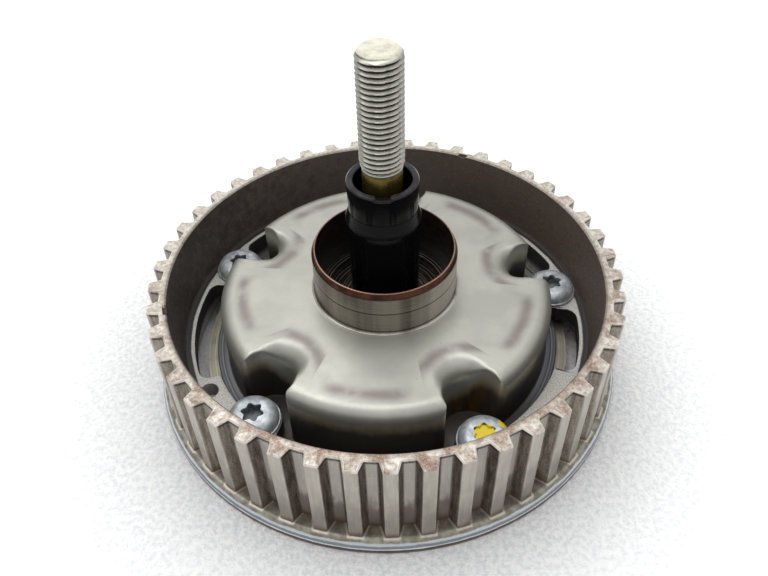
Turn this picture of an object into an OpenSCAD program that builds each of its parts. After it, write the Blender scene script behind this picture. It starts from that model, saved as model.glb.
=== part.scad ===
// Belt-driven vane phaser for a camshaft, standing on its belt guide flange with the camshaft side up.
// Millimetres. The origin is on the axis of rotation, in the plane of the flange's lower edge.
// +Z runs along the axis towards the camshaft. Angles are counted from +X, seen from the camshaft side.

/* [Belt pulley] */
// Number of belt teeth
tooth_count = 46; // [44:1:50]
// Pitch of the toothed belt
belt_pitch = 9.525; // [9.2:0.005:9.9]
// Distance from the belt's pitch line down to the tooth tips
pitch_line_drop = 0.686; // [0.4:0.01:1]
// Depth of the gaps between the teeth
tooth_depth = 3.35; // [2.8:0.05:3.7]
// Width of the flat floor of a gap
gap_floor_w = 3.6; // [3:0.1:4.2]
// Angle of a tooth flank to the middle of its gap
flank_angle = 20; // [16:1:24]
// Length of the teeth along the axis
tooth_len = 30; // [27:0.5:34]
// Wall between the tooth gaps and the rim's bore
rim_wall = 2.2; // [1.8:0.1:3]
// Chamfer on the rim's upper edges
rim_chamfer = 0.4; // [0.2:0.1:0.8]
// How much narrower the rim's bore is where it meets the web
rim_draft = 1.2; // [0.6:0.1:1.6]
// Radius of the fillet between the rim's bore and the web
web_fillet = 1; // [0.6:0.1:1.6]
// Thickness of the web that carries the screws
web_t = 5.4; // [4.5:0.1:6.5]
// Gap between the web's bore and the housing's lobes
web_gap = 4; // [3:0.1:4.4]
// Width of the ledge left between the rim's bore and the windows
ledge_w = 4.4; // [4:0.1:6]
// Corner radius of the windows
window_corner_r = 3.5; // [2.5:0.5:4.5]
// Radius of the boss under each screw head
boss_r = 7.8; // [7.6:0.1:8.2]
// Depth of the step between the rim's bore and the bore below the web
skirt_step = 2.4; // [2:0.1:3]
// Diameter of the index hole in the web
index_hole_d = 5.4; // [4:0.1:5.4]
// Direction of the index hole
index_hole_angle = 208.5; // [207.5:0.5:210]
// Distance from the windows' outer edge in to the index hole
index_hole_inset = 0.8; // [0.8:0.1:2]
// Radius of the two small dips in the rim's inner edge
rim_dip_r = 2.2; // [1.5:0.1:3]
// Directions of the two dips
rim_dip_angles = [64, 193]; // [0:1:360]
// Angle of web kept on each side of the three plain screws
narrow_arm = 9; // [9:0.5:14]
// Angles of web kept before and after the screw beside the index hole
index_arm = [22, 18]; // [8:1:30]
// Angles of web kept before and after the screw of the broad arm
broad_arm = [12, 37]; // [8:1:44]
// Height of the pulley's lower edge above the flange's lower edge
spigot_lift = 1; // [0.5:0.1:1.6]

/* [Guide flange] */
// Height of the flange over its turned-down edge
flange_h = 4.4; // [3.6:0.1:5.5]
// Sheet thickness of the flange
flange_t = 1.6; // [1.2:0.1:2]
// How far the flange stands out past the tooth tips
flange_reach = 2.25; // [1.5:0.05:3.5]
// Outer bend radius of the turned-down edge
flange_bend_r = 2.6; // [2.2:0.1:3.2]
// Depth of the shoulder on the pulley that carries the flange, below the tooth gaps
flange_seat = 0.7; // [0.4:0.1:1.2]

/* [Stator housing] */
// Sheet thickness of the drawn housing
sheet_t = 2; // [1.6:0.1:2.4]
// Height of the housing above its brim
pot_h = 20.1; // [17:0.1:24]
// Radius of the rounded shoulder along the lobes
shoulder_r = 4.2; // [3:0.1:4.6]
// Radius of the rounded edge along the notches
notch_edge_r = 3.6; // [1.6:0.1:4]
// Radius of the notches that clear the screws
notch_r = 8.3; // [7.9:0.1:8.8]
// Distance from a screw's axis in to the middle of its notch
notch_inset = 6.4; // [5.8:0.1:7]
// Distance from the middle of a notch out to the lobes' wall
lobe_reach = 2.2; // [1.8:0.1:2.8]
// Radius of the upright corners between lobes and notches
corner_r = 4; // [3.2:0.1:4.6]
// Width of the brim outside the lobes' wall
brim_w = 3.7; // [3:0.1:4.2]
// Thickness of the brim
brim_t = 2.2; // [1.8:0.1:3]
// Outer diameter of the seal journal on the neck
journal_d = 42; // [38:0.5:46]
// Wall thickness of the neck
neck_wall = 1.2; // [0.9:0.1:2]
// Height of the neck above the housing
neck_h = 14.7; // [10:0.1:18]
// Height of the chamfer at the neck's mouth
neck_chamfer_h = 1.6; // [0.8:0.1:2.4]
// Depth of the chamfer at the neck's mouth
neck_chamfer_w = 0.75; // [0.3:0.05:0.8]
// Size of the fillet at the neck's foot
neck_root = 0.9; // [0.6:0.1:1.4]

/* [Front cover] */
// Height of the cover's front face above the flange's lower edge
cover_lift = 1.2; // [0.6:0.1:2]
// Thickness of the front cover
cover_t = 5.6; // [5:0.1:7]
// How far the cover stands out past the housing's brim
cover_reach = 3.2; // [0:0.1:4.4]
// Radius of the ears that take the screws
ear_r = 5.6; // [5:0.1:6]
// Gap between the ears and the pulley's lower bore
ear_gap = 1.8; // [1:0.1:2.4]
// Section diameter of the seal between cover and housing
cover_seal_d = 1.3; // [1:0.1:1.6]

/* [Screws] */
// Thread diameter of the clamp screws
screw_d = 6; // [5:0.5:6]
// Head diameter of the clamp screws
screw_head_d = 14.4; // [12:0.1:14.6]
// Head height of the clamp screws above their flange
screw_head_h = 3.1; // [2.6:0.1:3.8]
// Thickness of the flange under a screw head
screw_flange_t = 0.9; // [0.6:0.1:1.2]
// Diameter of the flange under a screw head
screw_flange_d = 15.2; // [14.6:0.1:15.4]
// Diameter of the flat on top of a screw head
screw_flat_d = 8.2; // [7:0.1:9.4]
// How far the screws' tips stay inside the cover's front face
screw_tip_sink = 0.4; // [0.2:0.1:1]
// Diameter across the points of the six-lobed socket
socket_d = 6.4; // [5.6:0.1:7]
// Depth of the six-lobed socket
socket_depth = 2.6; // [2:0.1:3]
// Direction of the first screw
screw_phase = 10; // [0:1:20]

/* [Front plug] */
// Thread diameter of the front plug
plug_d = 30; // [26:0.5:32]
// Diameter of the plug's head
plug_head_d = 35; // [33.5:0.5:38]
// Thickness of the plug's head
plug_head_t = 2.2; // [1.8:0.1:2.8]
// Width across the flats of the plug's socket
plug_socket_w = 12; // [8:0.5:14]
// Depth of the plug's socket
plug_socket_depth = 3.4; // [2.4:0.1:4]
// Section diameter of the plug's seal
plug_seal_d = 1.1; // [0.9:0.1:1.3]

/* [Rotor] */
// Angle that the rotor swings to each side of its middle position
half_swing = 10.75; // [8:0.25:11]
// Angle left between a rotor vane and the notch wall at the end of the swing
stop_margin = 0.9; // [0.5:0.1:2]
// Chamfer on the corners of the vanes
vane_chamfer = 1.8; // [1.4:0.1:2.4]
// Chamfer on the end edges of the vanes and seals
end_chamfer = 0.7; // [0.6:0.1:1]
// Radial depth of the seal slots in the vanes
seal_slot_depth = 6; // [5:0.1:6.5]
// Width of a tip seal
seal_w = 3; // [2.4:0.1:3.6]
// Radial height of a tip seal
seal_h = 4.8; // [4:0.1:5]
// Thickness of a seal's leaf spring
leaf_t = 0.3; // [0.2:0.05:0.4]
// Diameter of the seat for the camshaft's nose
cam_seat_d = 34.2; // [30:0.1:36]
// Depth of the seat for the camshaft's nose
cam_seat_depth = 2.8; // [2:0.1:4]

/* [Lock pin] */
// Diameter of the lock pin
pin_d = 8; // [6:0.1:9]
// Length of the lock pin
pin_len = 10.5; // [9:0.1:12]
// Wall thickness of the lock pin round its spring
pin_wall = 1.3; // [1:0.1:1.6]
// Thickness of the lock pin's closed end
pin_floor_t = 4.4; // [3.6:0.1:5]
// Chamfer on the lock pin's tip
pin_chamfer = 0.6; // [0.3:0.1:1]
// Travel of the lock pin when it is drawn back
pin_travel = 3.6; // [2.5:0.1:3.8]
// Distance from the rotor hub's edge in to the pin's axis
pin_inset = 1.9; // [1:0.1:3]
// Thickness of the cap above the lock spring
pin_cap_t = 3; // [2:0.1:3.6]
// How far the cap sits below the rotor's end
pin_cap_sink = 0.3; // [0.2:0.05:0.6]
// Wire diameter of the lock spring
spring_wire_d = 0.7; // [0.5:0.1:0.9]
// Number of turns of the lock spring
spring_turns = 6; // [4:0.5:8]
// Wall thickness of the bush that the lock pin drops into
lock_bush_wall = 2; // [1.4:0.1:2.4]
// Depth of the bush that the lock pin drops into
lock_bush_h = 3.8; // [3:0.1:4.2]

/* [Oil sleeve and bolt] */
// Outer diameter of the oil sleeve's upper end
sleeve_d = 19.6; // [18:0.1:20.4]
// Wall thickness of the oil sleeve at its mouth
sleeve_wall = 1.9; // [1.5:0.1:2.1]
// Length of the oil sleeve
sleeve_len = 48.2; // [44:0.1:54]
// Length of the oil sleeve above its collar
sleeve_upper_len = 9.3; // [7:0.1:16]
// How far the sleeve's collar stands out
sleeve_collar = 0.7; // [0.4:0.1:0.9]
// How much thicker the sleeve's lower part is
sleeve_step = 0.2; // [0.1:0.05:0.3]
// How much the sleeve tapers from its mouth down to its collar
sleeve_waist = 0.3; // [0.1:0.05:0.5]
// Depth of the grooves along the sleeve's lower part
sleeve_groove = 0.9; // [0.5:0.1:1.1]
// Radius of the grooves along the sleeve's lower part
sleeve_groove_r = 3.2; // [2.4:0.1:4]
// Height of the sleeve's collar, with both its slopes
sleeve_collar_h = 4.4; // [3:0.1:6]
// Chamfer at the sleeve's mouth
sleeve_lip = 0.4; // [0.2:0.05:0.6]
// Width of the notch at the sleeve's mouth
sleeve_notch_w = 5.2; // [3:0.1:7]
// Depth of the notch at the sleeve's mouth
sleeve_notch_depth = 0.6; // [0.3:0.1:1.2]
// Depth of the sleeve's seat below the camshaft's seat
sleeve_seat_depth = 5.2; // [4:0.1:6]
// Thread diameter of the centre bolt
bolt_d = 12; // [10:0.5:12]
// Diameter of the bolt's shank below the thread
bolt_shank_d = 10.9; // [9:0.1:11]
// Length of the bolt below its head
bolt_len = 88.8; // [80:0.1:96]
// Length of the bolt's thread
bolt_thread_len = 33; // [26:0.5:38]
// Chamfer at the bolt's threaded end
bolt_chamfer = 1.3; // [0.8:0.1:1.6]
// Diameter of the flange under the bolt's head
bolt_flange_d = 23.2; // [21:0.1:24.6]
// Thickness of the flange under the bolt's head
bolt_flange_t = 2; // [1.5:0.1:2.6]
// Width across the flats of the bolt's head
bolt_hex_w = 16; // [13:0.5:18]
// Height of the bolt's hexagon
bolt_hex_h = 5.6; // [4.6:0.1:5.8]

/* [Clearances] */
// Radial running clearance of the rotor in the housing
rotor_clear = 0.1; // [0.06:0.01:0.14]
// Radial running clearance of the tip seals
seal_clear = 0.08; // [0.06:0.01:0.1]
// Clearance at each end of the rotor
axial_clear = 0.05; // [0.03:0.01:0.08]
// Clearance of the seals in their slots and the pin in its bore
slide_clear = 0.04; // [0.02:0.01:0.06]
// Clearance of parts that are pressed or screwed together
seat_clear = 0.02; // [0.01:0.01:0.04]
// Radial clearance of the screws in their holes
hole_clear = 0.3; // [0.2:0.05:0.4]
// Radial clearance of the lock pin in its bush
bush_clear = 0.25; // [0.15:0.05:0.4]
// Radial clearance of the lock spring in its pin
spring_clear = 0.25; // [0.15:0.05:0.35]
// Radial clearance of the bolt's thread in the rotor
bolt_clear = 0.5; // [0.3:0.05:0.8]
// Radial clearance of the bolt's head in the rotor
bolt_head_clear = 0.8; // [0.5:0.1:1.2]
// Depth of the bolt's head inside the rotor's end
bolt_head_sink = 0.55; // [0.3:0.05:1]

/* [Hidden] */

$fn = 96;
through = 1;
vane_count = 5;
vane_step = 360 / vane_count;

// Radii, from the teeth inwards
tip_r = tooth_count * belt_pitch / (2 * PI) - pitch_line_drop;
root_r = tip_r - tooth_depth;
rim_bore_r = root_r - rim_wall;
window_r = rim_bore_r - ledge_w;
skirt_bore_r = rim_bore_r - skirt_step;
spigot_r = root_r - flange_seat;
flange_r = tip_r + flange_reach;
screw_circle_r = skirt_bore_r - ear_gap - ear_r;
notch_mid_r = screw_circle_r - notch_inset;
lobe_r = notch_mid_r + lobe_reach;
web_bore_r = lobe_r + web_gap;
brim_r = lobe_r + brim_w;
cover_r = brim_r + cover_reach;
chamber_r = lobe_r - sheet_t;
journal_r = journal_d / 2;
neck_bore_r = journal_r - neck_wall;
screw_hole_r = screw_d / 2 + hole_clear;

// Heights, from the flange's lower edge upwards
flange_top = flange_h;
rim_top = flange_top + tooth_len;
cover_top = cover_lift + cover_t;
web_bottom = cover_top + brim_t;
web_top = web_bottom + web_t;
pot_top = web_bottom + pot_h;
chamber_top = pot_top - sheet_t;
neck_top = pot_top + neck_h;
rotor_bottom = cover_top + axial_clear;
rotor_top = chamber_top - axial_clear;
cam_seat_z = rotor_top - cam_seat_depth;
sleeve_seat_z = cam_seat_z - sleeve_seat_depth;
sleeve_top = sleeve_seat_z + sleeve_len;
bolt_seat_z = rotor_bottom + bolt_hex_h + bolt_flange_t + bolt_head_sink;
bolt_end = bolt_seat_z + bolt_len;

// Rotor and lock
notch_wall_r = notch_r + sheet_t;
hub_r = notch_mid_r - notch_wall_r - rotor_clear;
vane_half_w = notch_mid_r * sin(vane_step / 2 - half_swing - stop_margin) - notch_wall_r;
vane_tip_r = chamber_r - 3 * rotor_clear;
seal_tip_r = chamber_r - seal_clear;
slot_floor_r = vane_tip_r - seal_slot_depth;
seal_foot_r = seal_tip_r - seal_h;
first_vane = screw_phase + vane_step / 2;
pin_axis_r = hub_r - pin_inset;
pin_r = pin_d / 2;
pin_bore_r = pin_r + slide_clear;
pin_hollow_r = pin_r - pin_wall;
pin_floor_z = rotor_bottom + pin_floor_t;
cap_top = rotor_top - pin_cap_sink;
cap_bottom = cap_top - pin_cap_t;
lock_bush_r = pin_r + bush_clear + lock_bush_wall;
sleeve_r = sleeve_d / 2;
sleeve_low_r = sleeve_r + sleeve_step;
sleeve_bore_r = sleeve_r - sleeve_wall;
bolt_r = bolt_d / 2;
bolt_bore_r = bolt_r + bolt_clear;
head_recess_r = bolt_flange_d / 2 + bolt_head_clear;
cover_seal_r = (chamber_r + screw_circle_r - screw_hole_r) / 2;
plug_r = plug_d / 2;
plug_head_r = plug_head_d / 2;
plug_seal_r = (plug_r + plug_head_r) / 2;

// Angles of web kept before and after each screw
plain_arm = [narrow_arm, narrow_arm];
arms = [plain_arm, plain_arm, plain_arm, index_arm, broad_arm];

// Colours
pulley_colour = [0.67, 0.63, 0.58];
flange_colour = [0.50, 0.54, 0.58];
housing_colour = [0.73, 0.72, 0.67];
cover_colour = [0.55, 0.58, 0.62];
zinc_colour = [0.70, 0.73, 0.75];
rubber_colour = [0.10, 0.10, 0.10];
steel_colour = [0.62, 0.62, 0.60];
plastic_colour = [0.07, 0.07, 0.08];
bolt_colour = [0.74, 0.73, 0.70];

// Points of an arc about [x, y], both ends included
function arc(x, y, r, from, to, steps) =
    [for (i = [0:steps]) let (a = from + (to - from) * i / steps) [x + r * cos(a), y + r * sin(a)]];

// Half of the angle between the two corners beside a notch, seen from the axis
function notch_opening(lobe, notch, corner) =
    let (reach = lobe - corner, span = notch + corner)
    acos((notch_mid_r ^ 2 + reach ^ 2 - span ^ 2) / (2 * notch_mid_r * reach));

// Material outside the round corner between a notch along +X and the lobe after it
module corner_waste(lobe, notch, corner, bottom, top) {
    open = notch_opening(lobe, notch, corner);
    x = (lobe - corner) * cos(open);
    y = (lobe - corner) * sin(open);
    inward = atan2(y, x - notch_mid_r) - 180;
    near = corner + 3 * through;
    far = near + 3 * through;
    beyond = [for (way = [[near, open], [far, (open + inward) / 2], [near, inward]])
        [x + way[0] * cos(way[1]), y + way[0] * sin(way[1])]];
    translate([0, 0, bottom]) linear_extrude(top - bottom)
        polygon(concat(arc(x, y, corner, inward, open, 5), beyond));
}

// Notch cutter about its own axis, flared at the top to leave a rounded edge
module notch_cutter(r, edge_r, bottom, top) {
    flare = arc(r + edge_r, top - edge_r, edge_r, 180, 100, 6);
    mouth = [[r + 2 * edge_r, top + through], [0, top + through]];
    section = concat([[0, bottom], [r, bottom]], flare, mouth);
    rotate_extrude($fn = 64) polygon(section);
}

// Five-lobed body with rounded upper edges
module lobed_body(bottom, top) {
    section = concat(
        [[0, bottom], [lobe_r, bottom]],
        arc(lobe_r - shoulder_r, top - shoulder_r, shoulder_r, 0, 90, 8),
        [[0, top]]
    );
    difference() {
        rotate_extrude($fn = 180) polygon(section);
        at_screws(notch_mid_r) notch_cutter(notch_r, notch_edge_r, bottom - through, top);
        at_screws(0) for (side = [0, 1]) mirror([0, side, 0])
            corner_waste(lobe_r, notch_r, corner_r, bottom - through, top + through);
    }
}

// Space for the rotor, with the notches' inner walls standing in it
module chamber(bottom, top) {
    difference() {
        translate([0, 0, bottom]) cylinder(r = chamber_r, h = top - bottom, $fn = 180);
        at_screws(notch_mid_r) translate([0, 0, bottom - through])
            cylinder(r = notch_wall_r, h = top - bottom + 2 * through, $fn = 64);
    }
}

module at_screws(r) {
    for (k = [0:vane_count - 1]) rotate(screw_phase + k * vane_step) translate([r, 0, 0]) children();
}

module ring(r_out, r_in, bottom, top) {
    translate([0, 0, bottom]) difference() {
        cylinder(r = r_out, h = top - bottom);
        translate([0, 0, -through]) cylinder(r = r_in, h = top - bottom + 2 * through);
    }
}

// Square groove cut down into a face at height z
module ring_groove(r, w, z) {
    ring(r + w / 2, r - w / 2, z - w, z + through);
}

module o_ring(r, section_d, z) {
    rotate_extrude() translate([r, z]) circle(d = section_d, $fn = 32);
}

// Disc with an ear round each screw
module eared_disc(r, bottom, top) {
    translate([0, 0, bottom]) linear_extrude(top - bottom) {
        circle(r = r, $fn = 180);
        at_screws(screw_circle_r) circle(r = ear_r, $fn = 48);
    }
}

// Opening in the web between two arms, round at its two outer corners
module window(from, to) {
    mid_r = window_r - window_corner_r;
    lean = asin(window_corner_r / mid_r);
    inner_r = web_bore_r - 2 * through;
    a = from + lean;
    b = to - lean;
    outline = concat(
        [[inner_r * cos(from), inner_r * sin(from)]],
        arc(mid_r * cos(a), mid_r * sin(a), window_corner_r, from - 90, a, 6),
        [for (i = [1:11]) let (t = a + (b - a) * i / 12) [window_r * cos(t), window_r * sin(t)]],
        arc(mid_r * cos(b), mid_r * sin(b), window_corner_r, b, to + 90, 6),
        [[inner_r * cos(to), inner_r * sin(to)]]
    );
    translate([0, 0, web_bottom - through]) linear_extrude(web_t + 2 * through) polygon(outline);
}

// Space inside the web's bore, with the bosses round the screws left standing
module web_bore() {
    low = web_bottom - through;
    difference() {
        translate([0, 0, low]) cylinder(r = web_bore_r, h = web_t + 2 * through, $fn = 180);
        at_screws(screw_circle_r) translate([0, 0, low - through])
            cylinder(r = boss_r, h = web_t + 4 * through, $fn = 48);
    }
}

// Gap between two teeth, cut from the flange's top face upwards
module tooth_gap() {
    out = tooth_depth + through;
    half = gap_floor_w / 2;
    wide = half + out * tan(flank_angle);
    translate([root_r, 0, flange_top - through])
        linear_extrude(tooth_len + 2 * through)
            polygon([[0, -half], [out, -wide], [out, wide], [0, half]]);
}

module belt_pulley() {
    bore_foot_r = rim_bore_r - rim_draft;
    blank_r = screw_circle_r - boss_r - through;
    section = concat(
        [[tip_r, flange_top], [tip_r, rim_top - rim_chamfer], [tip_r - rim_chamfer, rim_top]],
        [[rim_bore_r + rim_chamfer, rim_top], [rim_bore_r, rim_top - rim_chamfer]],
        arc(bore_foot_r - web_fillet, web_top + web_fillet, web_fillet, 0, -90, 5),
        [[blank_r, web_top], [blank_r, web_bottom], [skirt_bore_r, web_bottom]],
        [[skirt_bore_r, spigot_lift], [spigot_r, spigot_lift], [spigot_r, flange_top]]
    );
    color(pulley_colour) difference() {
        rotate_extrude($fn = 184) polygon(section);
        web_bore();
        for (i = [0:tooth_count - 1]) rotate(i * 360 / tooth_count) tooth_gap();
        for (k = [0:vane_count - 1])
            window(screw_phase + k * vane_step + arms[k][1],
                   screw_phase + (k + 1) * vane_step - arms[(k + 1) % vane_count][0]);
        at_screws(screw_circle_r) translate([0, 0, web_bottom - through])
            cylinder(r = screw_hole_r, h = web_t + 2 * through, $fn = 32);
        rotate(index_hole_angle) translate([window_r - index_hole_inset, 0, web_bottom - through])
            cylinder(d = index_hole_d, h = web_t + 2 * through, $fn = 32);
        for (a = rim_dip_angles) rotate(a) translate([rim_bore_r, 0, rim_top + rim_dip_r / 2])
            rotate([0, 90, 0])
                cylinder(r = rim_dip_r, h = 2 * rim_chamfer + through, center = true, $fn = 32);
    }
}

module guide_flange() {
    bend_x = flange_r - flange_bend_r;
    bend_z = flange_top - flange_bend_r;
    inner_r = spigot_r + seat_clear;
    section = concat(
        [[inner_r, flange_top]],
        arc(bend_x, bend_z, flange_bend_r, 90, 0, 8),
        [[flange_r, 0], [flange_r - flange_t, 0]],
        arc(bend_x, bend_z, flange_bend_r - flange_t, 0, 90, 6),
        [[inner_r, flange_top - flange_t]]
    );
    color(flange_colour) rotate_extrude($fn = 184) polygon(section);
}

module stator_housing() {
    mouth_r = journal_r - neck_chamfer_w;
    neck_section = [
        [0, chamber_top - through], [journal_r, chamber_top - through],
        [journal_r + neck_root, pot_top - neck_root], [journal_r + neck_root, pot_top],
        [journal_r + neck_root / 3, pot_top + neck_root / 3], [journal_r, pot_top + neck_root],
        [journal_r, neck_top - neck_chamfer_h],
        [mouth_r, neck_top], [0, neck_top]
    ];
    color(housing_colour) difference() {
        union() {
            lobed_body(cover_top + brim_t / 2, pot_top);
            eared_disc(brim_r, cover_top, web_bottom);
            rotate_extrude() polygon(neck_section);
        }
        chamber(cover_top - through, chamber_top);
        translate([0, 0, cover_top]) cylinder(r = neck_bore_r, h = neck_top);
        at_screws(screw_circle_r) translate([0, 0, cover_top - through])
            cylinder(r = screw_hole_r, h = brim_t + 2 * through, $fn = 32);
    }
}

module front_cover() {
    groove_w = cover_seal_d + 2 * slide_clear;
    color(cover_colour) difference() {
        eared_disc(cover_r, cover_lift, cover_top);
        translate([0, 0, cover_lift - through]) cylinder(r = plug_r + seat_clear, h = cover_t + 2 * through);
        translate([0, 0, cover_lift - through])
            cylinder(r = plug_head_r + hole_clear, h = plug_head_t + through);
        ring_groove(cover_seal_r, groove_w, cover_top);
        at_lock_angle() translate([0, 0, cover_top - lock_bush_h])
            cylinder(r = lock_bush_r + seat_clear, h = lock_bush_h + through, $fn = 48);
        at_screws(screw_circle_r) translate([0, 0, cover_lift - through])
            cylinder(r = screw_d / 2 + seat_clear, h = cover_t + 2 * through, $fn = 32);
    }
}

module cover_seal() {
    color(rubber_colour) o_ring(cover_seal_r, cover_seal_d, cover_top - slide_clear - cover_seal_d / 2);
}

// Six-lobed socket, as a wave round a circle
module six_lobe(d, h) {
    mean_r = d * 0.43;
    wave = d * 0.07;
    linear_extrude(h) polygon([for (a = [0:10:350]) (mean_r + wave * cos(6 * a)) * [cos(a), sin(a)]]);
}

module clamp_screw() {
    head_r = screw_head_d / 2;
    flange_top_z = web_top + screw_flange_t;
    crown = flange_top_z + screw_head_h;
    flat_r = screw_flat_d / 2;
    shank_r = screw_d / 2;
    tip = cover_lift + screw_tip_sink;
    section = concat(
        [[0, tip], [shank_r, tip], [shank_r, web_top], [screw_flange_d / 2, web_top]],
        [[screw_flange_d / 2, flange_top_z], [head_r, flange_top_z]],
        [for (i = [1:6]) let (a = 90 * i / 6)
            [flat_r + (head_r - flat_r) * cos(a), flange_top_z + screw_head_h * sin(a)]],
        [[0, crown]]
    );
    difference() {
        rotate_extrude($fn = 48) polygon(section);
        translate([0, 0, crown - socket_depth]) six_lobe(socket_d, socket_depth + through);
    }
}

module clamp_screws() {
    color(zinc_colour) at_screws(screw_circle_r) clamp_screw();
}

module front_plug() {
    head_top = cover_lift + plug_head_t;
    groove_w = plug_seal_d + 2 * slide_clear;
    color(zinc_colour) difference() {
        union() {
            translate([0, 0, cover_lift]) cylinder(r = plug_head_r, h = plug_head_t);
            translate([0, 0, cover_lift]) cylinder(r = plug_r, h = cover_t - axial_clear);
        }
        ring_groove(plug_seal_r, groove_w, head_top);
        translate([0, 0, cover_lift - through])
            cylinder(d = plug_socket_w / cos(30), h = plug_socket_depth + through, $fn = 6);
    }
}

module plug_seal() {
    z = cover_lift + plug_head_t - slide_clear - plug_seal_d / 2;
    color(rubber_colour) o_ring(plug_seal_r, plug_seal_d, z);
}

module at_lock_angle() {
    rotate(first_vane - half_swing) translate([pin_axis_r, 0, 0]) children();
}

module at_pin() {
    rotate(first_vane) translate([pin_axis_r, 0, 0]) children();
}

module lock_bush() {
    color(steel_colour) at_lock_angle()
        ring(lock_bush_r, lock_bush_r - lock_bush_wall, cover_top - lock_bush_h, cover_top);
}

// Revolved space between the rotor's two ends, with chamfered edges at radius r
module rotor_envelope(r) {
    rotate_extrude() polygon([
        [0, rotor_bottom], [r - end_chamfer, rotor_bottom], [r, rotor_bottom + end_chamfer],
        [r, rotor_top - end_chamfer], [r - end_chamfer, rotor_top], [0, rotor_top]
    ]);
}

module vane_outline() {
    shoulder = vane_tip_r - vane_chamfer;
    narrow = vane_half_w - vane_chamfer;
    outline = [
        [hub_r / 2, -vane_half_w], [shoulder, -vane_half_w], [vane_tip_r, -narrow],
        [vane_tip_r, narrow], [shoulder, vane_half_w], [hub_r / 2, vane_half_w]
    ];
    polygon(outline);
}

module seal_slot() {
    w = seal_w + 2 * slide_clear;
    translate([slot_floor_r, -w / 2, rotor_bottom - through])
        cube([seal_slot_depth + through, w, rotor_top - rotor_bottom + 2 * through]);
}

module at_vane(k) {
    rotate(first_vane + k * vane_step) children();
}

module rotor() {
    color(steel_colour) difference() {
        intersection() {
            translate([0, 0, rotor_bottom - through]) linear_extrude(rotor_top - rotor_bottom + 2 * through) {
                circle(r = hub_r, $fn = 180);
                for (k = [0:vane_count - 1]) at_vane(k) vane_outline();
            }
            rotor_envelope(vane_tip_r);
        }
        for (k = [0:vane_count - 1]) at_vane(k) seal_slot();
        at_pin() translate([0, 0, rotor_bottom - through])
            cylinder(r = pin_bore_r, h = rotor_top - rotor_bottom + 2 * through, $fn = 48);
        translate([0, 0, cam_seat_z]) cylinder(d = cam_seat_d, h = cam_seat_depth + through);
        translate([0, 0, sleeve_seat_z]) cylinder(r = sleeve_low_r + seat_clear, h = rotor_top);
        translate([0, 0, rotor_bottom]) cylinder(r = bolt_bore_r, h = rotor_top);
        translate([0, 0, rotor_bottom - through])
            cylinder(r = head_recess_r, h = bolt_seat_z - rotor_bottom + through);
    }
}

module tip_seal(k) {
    color(plastic_colour) intersection() {
        at_vane(k) translate([seal_foot_r, -seal_w / 2, rotor_bottom])
            cube([seal_h + through, seal_w, rotor_top - rotor_bottom]);
        rotor_envelope(seal_tip_r);
    }
}

// Bowed leaf between the slot's floor and the seal
module seal_spring(k) {
    length = rotor_top - rotor_bottom - 2 * end_chamfer;
    rise = seal_foot_r - slot_floor_r - leaf_t - 2 * seat_clear;
    steps = 12;
    bow = [for (i = [0:steps]) [slot_floor_r + seat_clear + rise * sin(180 * i / steps), length * i / steps]];
    back = [for (i = [steps:-1:0]) [bow[i][0] + leaf_t, bow[i][1]]];
    color(steel_colour) at_vane(k) translate([0, (seal_w - leaf_t) / 2, rotor_bottom + end_chamfer])
        rotate([90, 0, 0]) linear_extrude(seal_w - leaf_t) polygon(concat(bow, back));
}

module lock_pin() {
    top = rotor_bottom + pin_len;
    section = [
        [0, rotor_bottom], [pin_r - pin_chamfer, rotor_bottom], [pin_r, rotor_bottom + 2 * pin_chamfer],
        [pin_r, top], [pin_hollow_r, top], [pin_hollow_r, pin_floor_z], [0, pin_floor_z]
    ];
    color(steel_colour) at_pin() rotate_extrude($fn = 48) polygon(section);
}

// Round wire swept along a helix from the pin's floor to the cap
module lock_spring() {
    sides = 8;
    per_turn = 12;
    wire_r = spring_wire_d / 2;
    coil_r = pin_hollow_r - wire_r - spring_clear;
    low = pin_floor_z + wire_r + slide_clear;
    high = cap_bottom - wire_r - slide_clear;
    stations = round(spring_turns * per_turn);
    points = [for (i = [0:stations]) let (a = 360 * i / per_turn, z = low + (high - low) * i / stations)
        each [for (s = [0:sides - 1]) let (b = 360 * s / sides, r = coil_r + wire_r * cos(b))
            [r * cos(a), r * sin(a), z + wire_r * sin(b)]]];
    skin = [for (i = [0:stations - 1]) each [for (s = [0:sides - 1]) let (t = (s + 1) % sides)
        [i * sides + s, i * sides + t, (i + 1) * sides + t, (i + 1) * sides + s]]];
    first_end = [for (s = [sides - 1:-1:0]) s];
    last_end = [for (s = [0:sides - 1]) stations * sides + s];
    color(zinc_colour) at_pin() polyhedron(points, concat(skin, [first_end], [last_end]));
}

module lock_cap() {
    vent_r = 0.8;
    color(steel_colour) at_pin() ring(pin_bore_r - seat_clear, vent_r, cap_bottom, cap_top);
}

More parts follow.
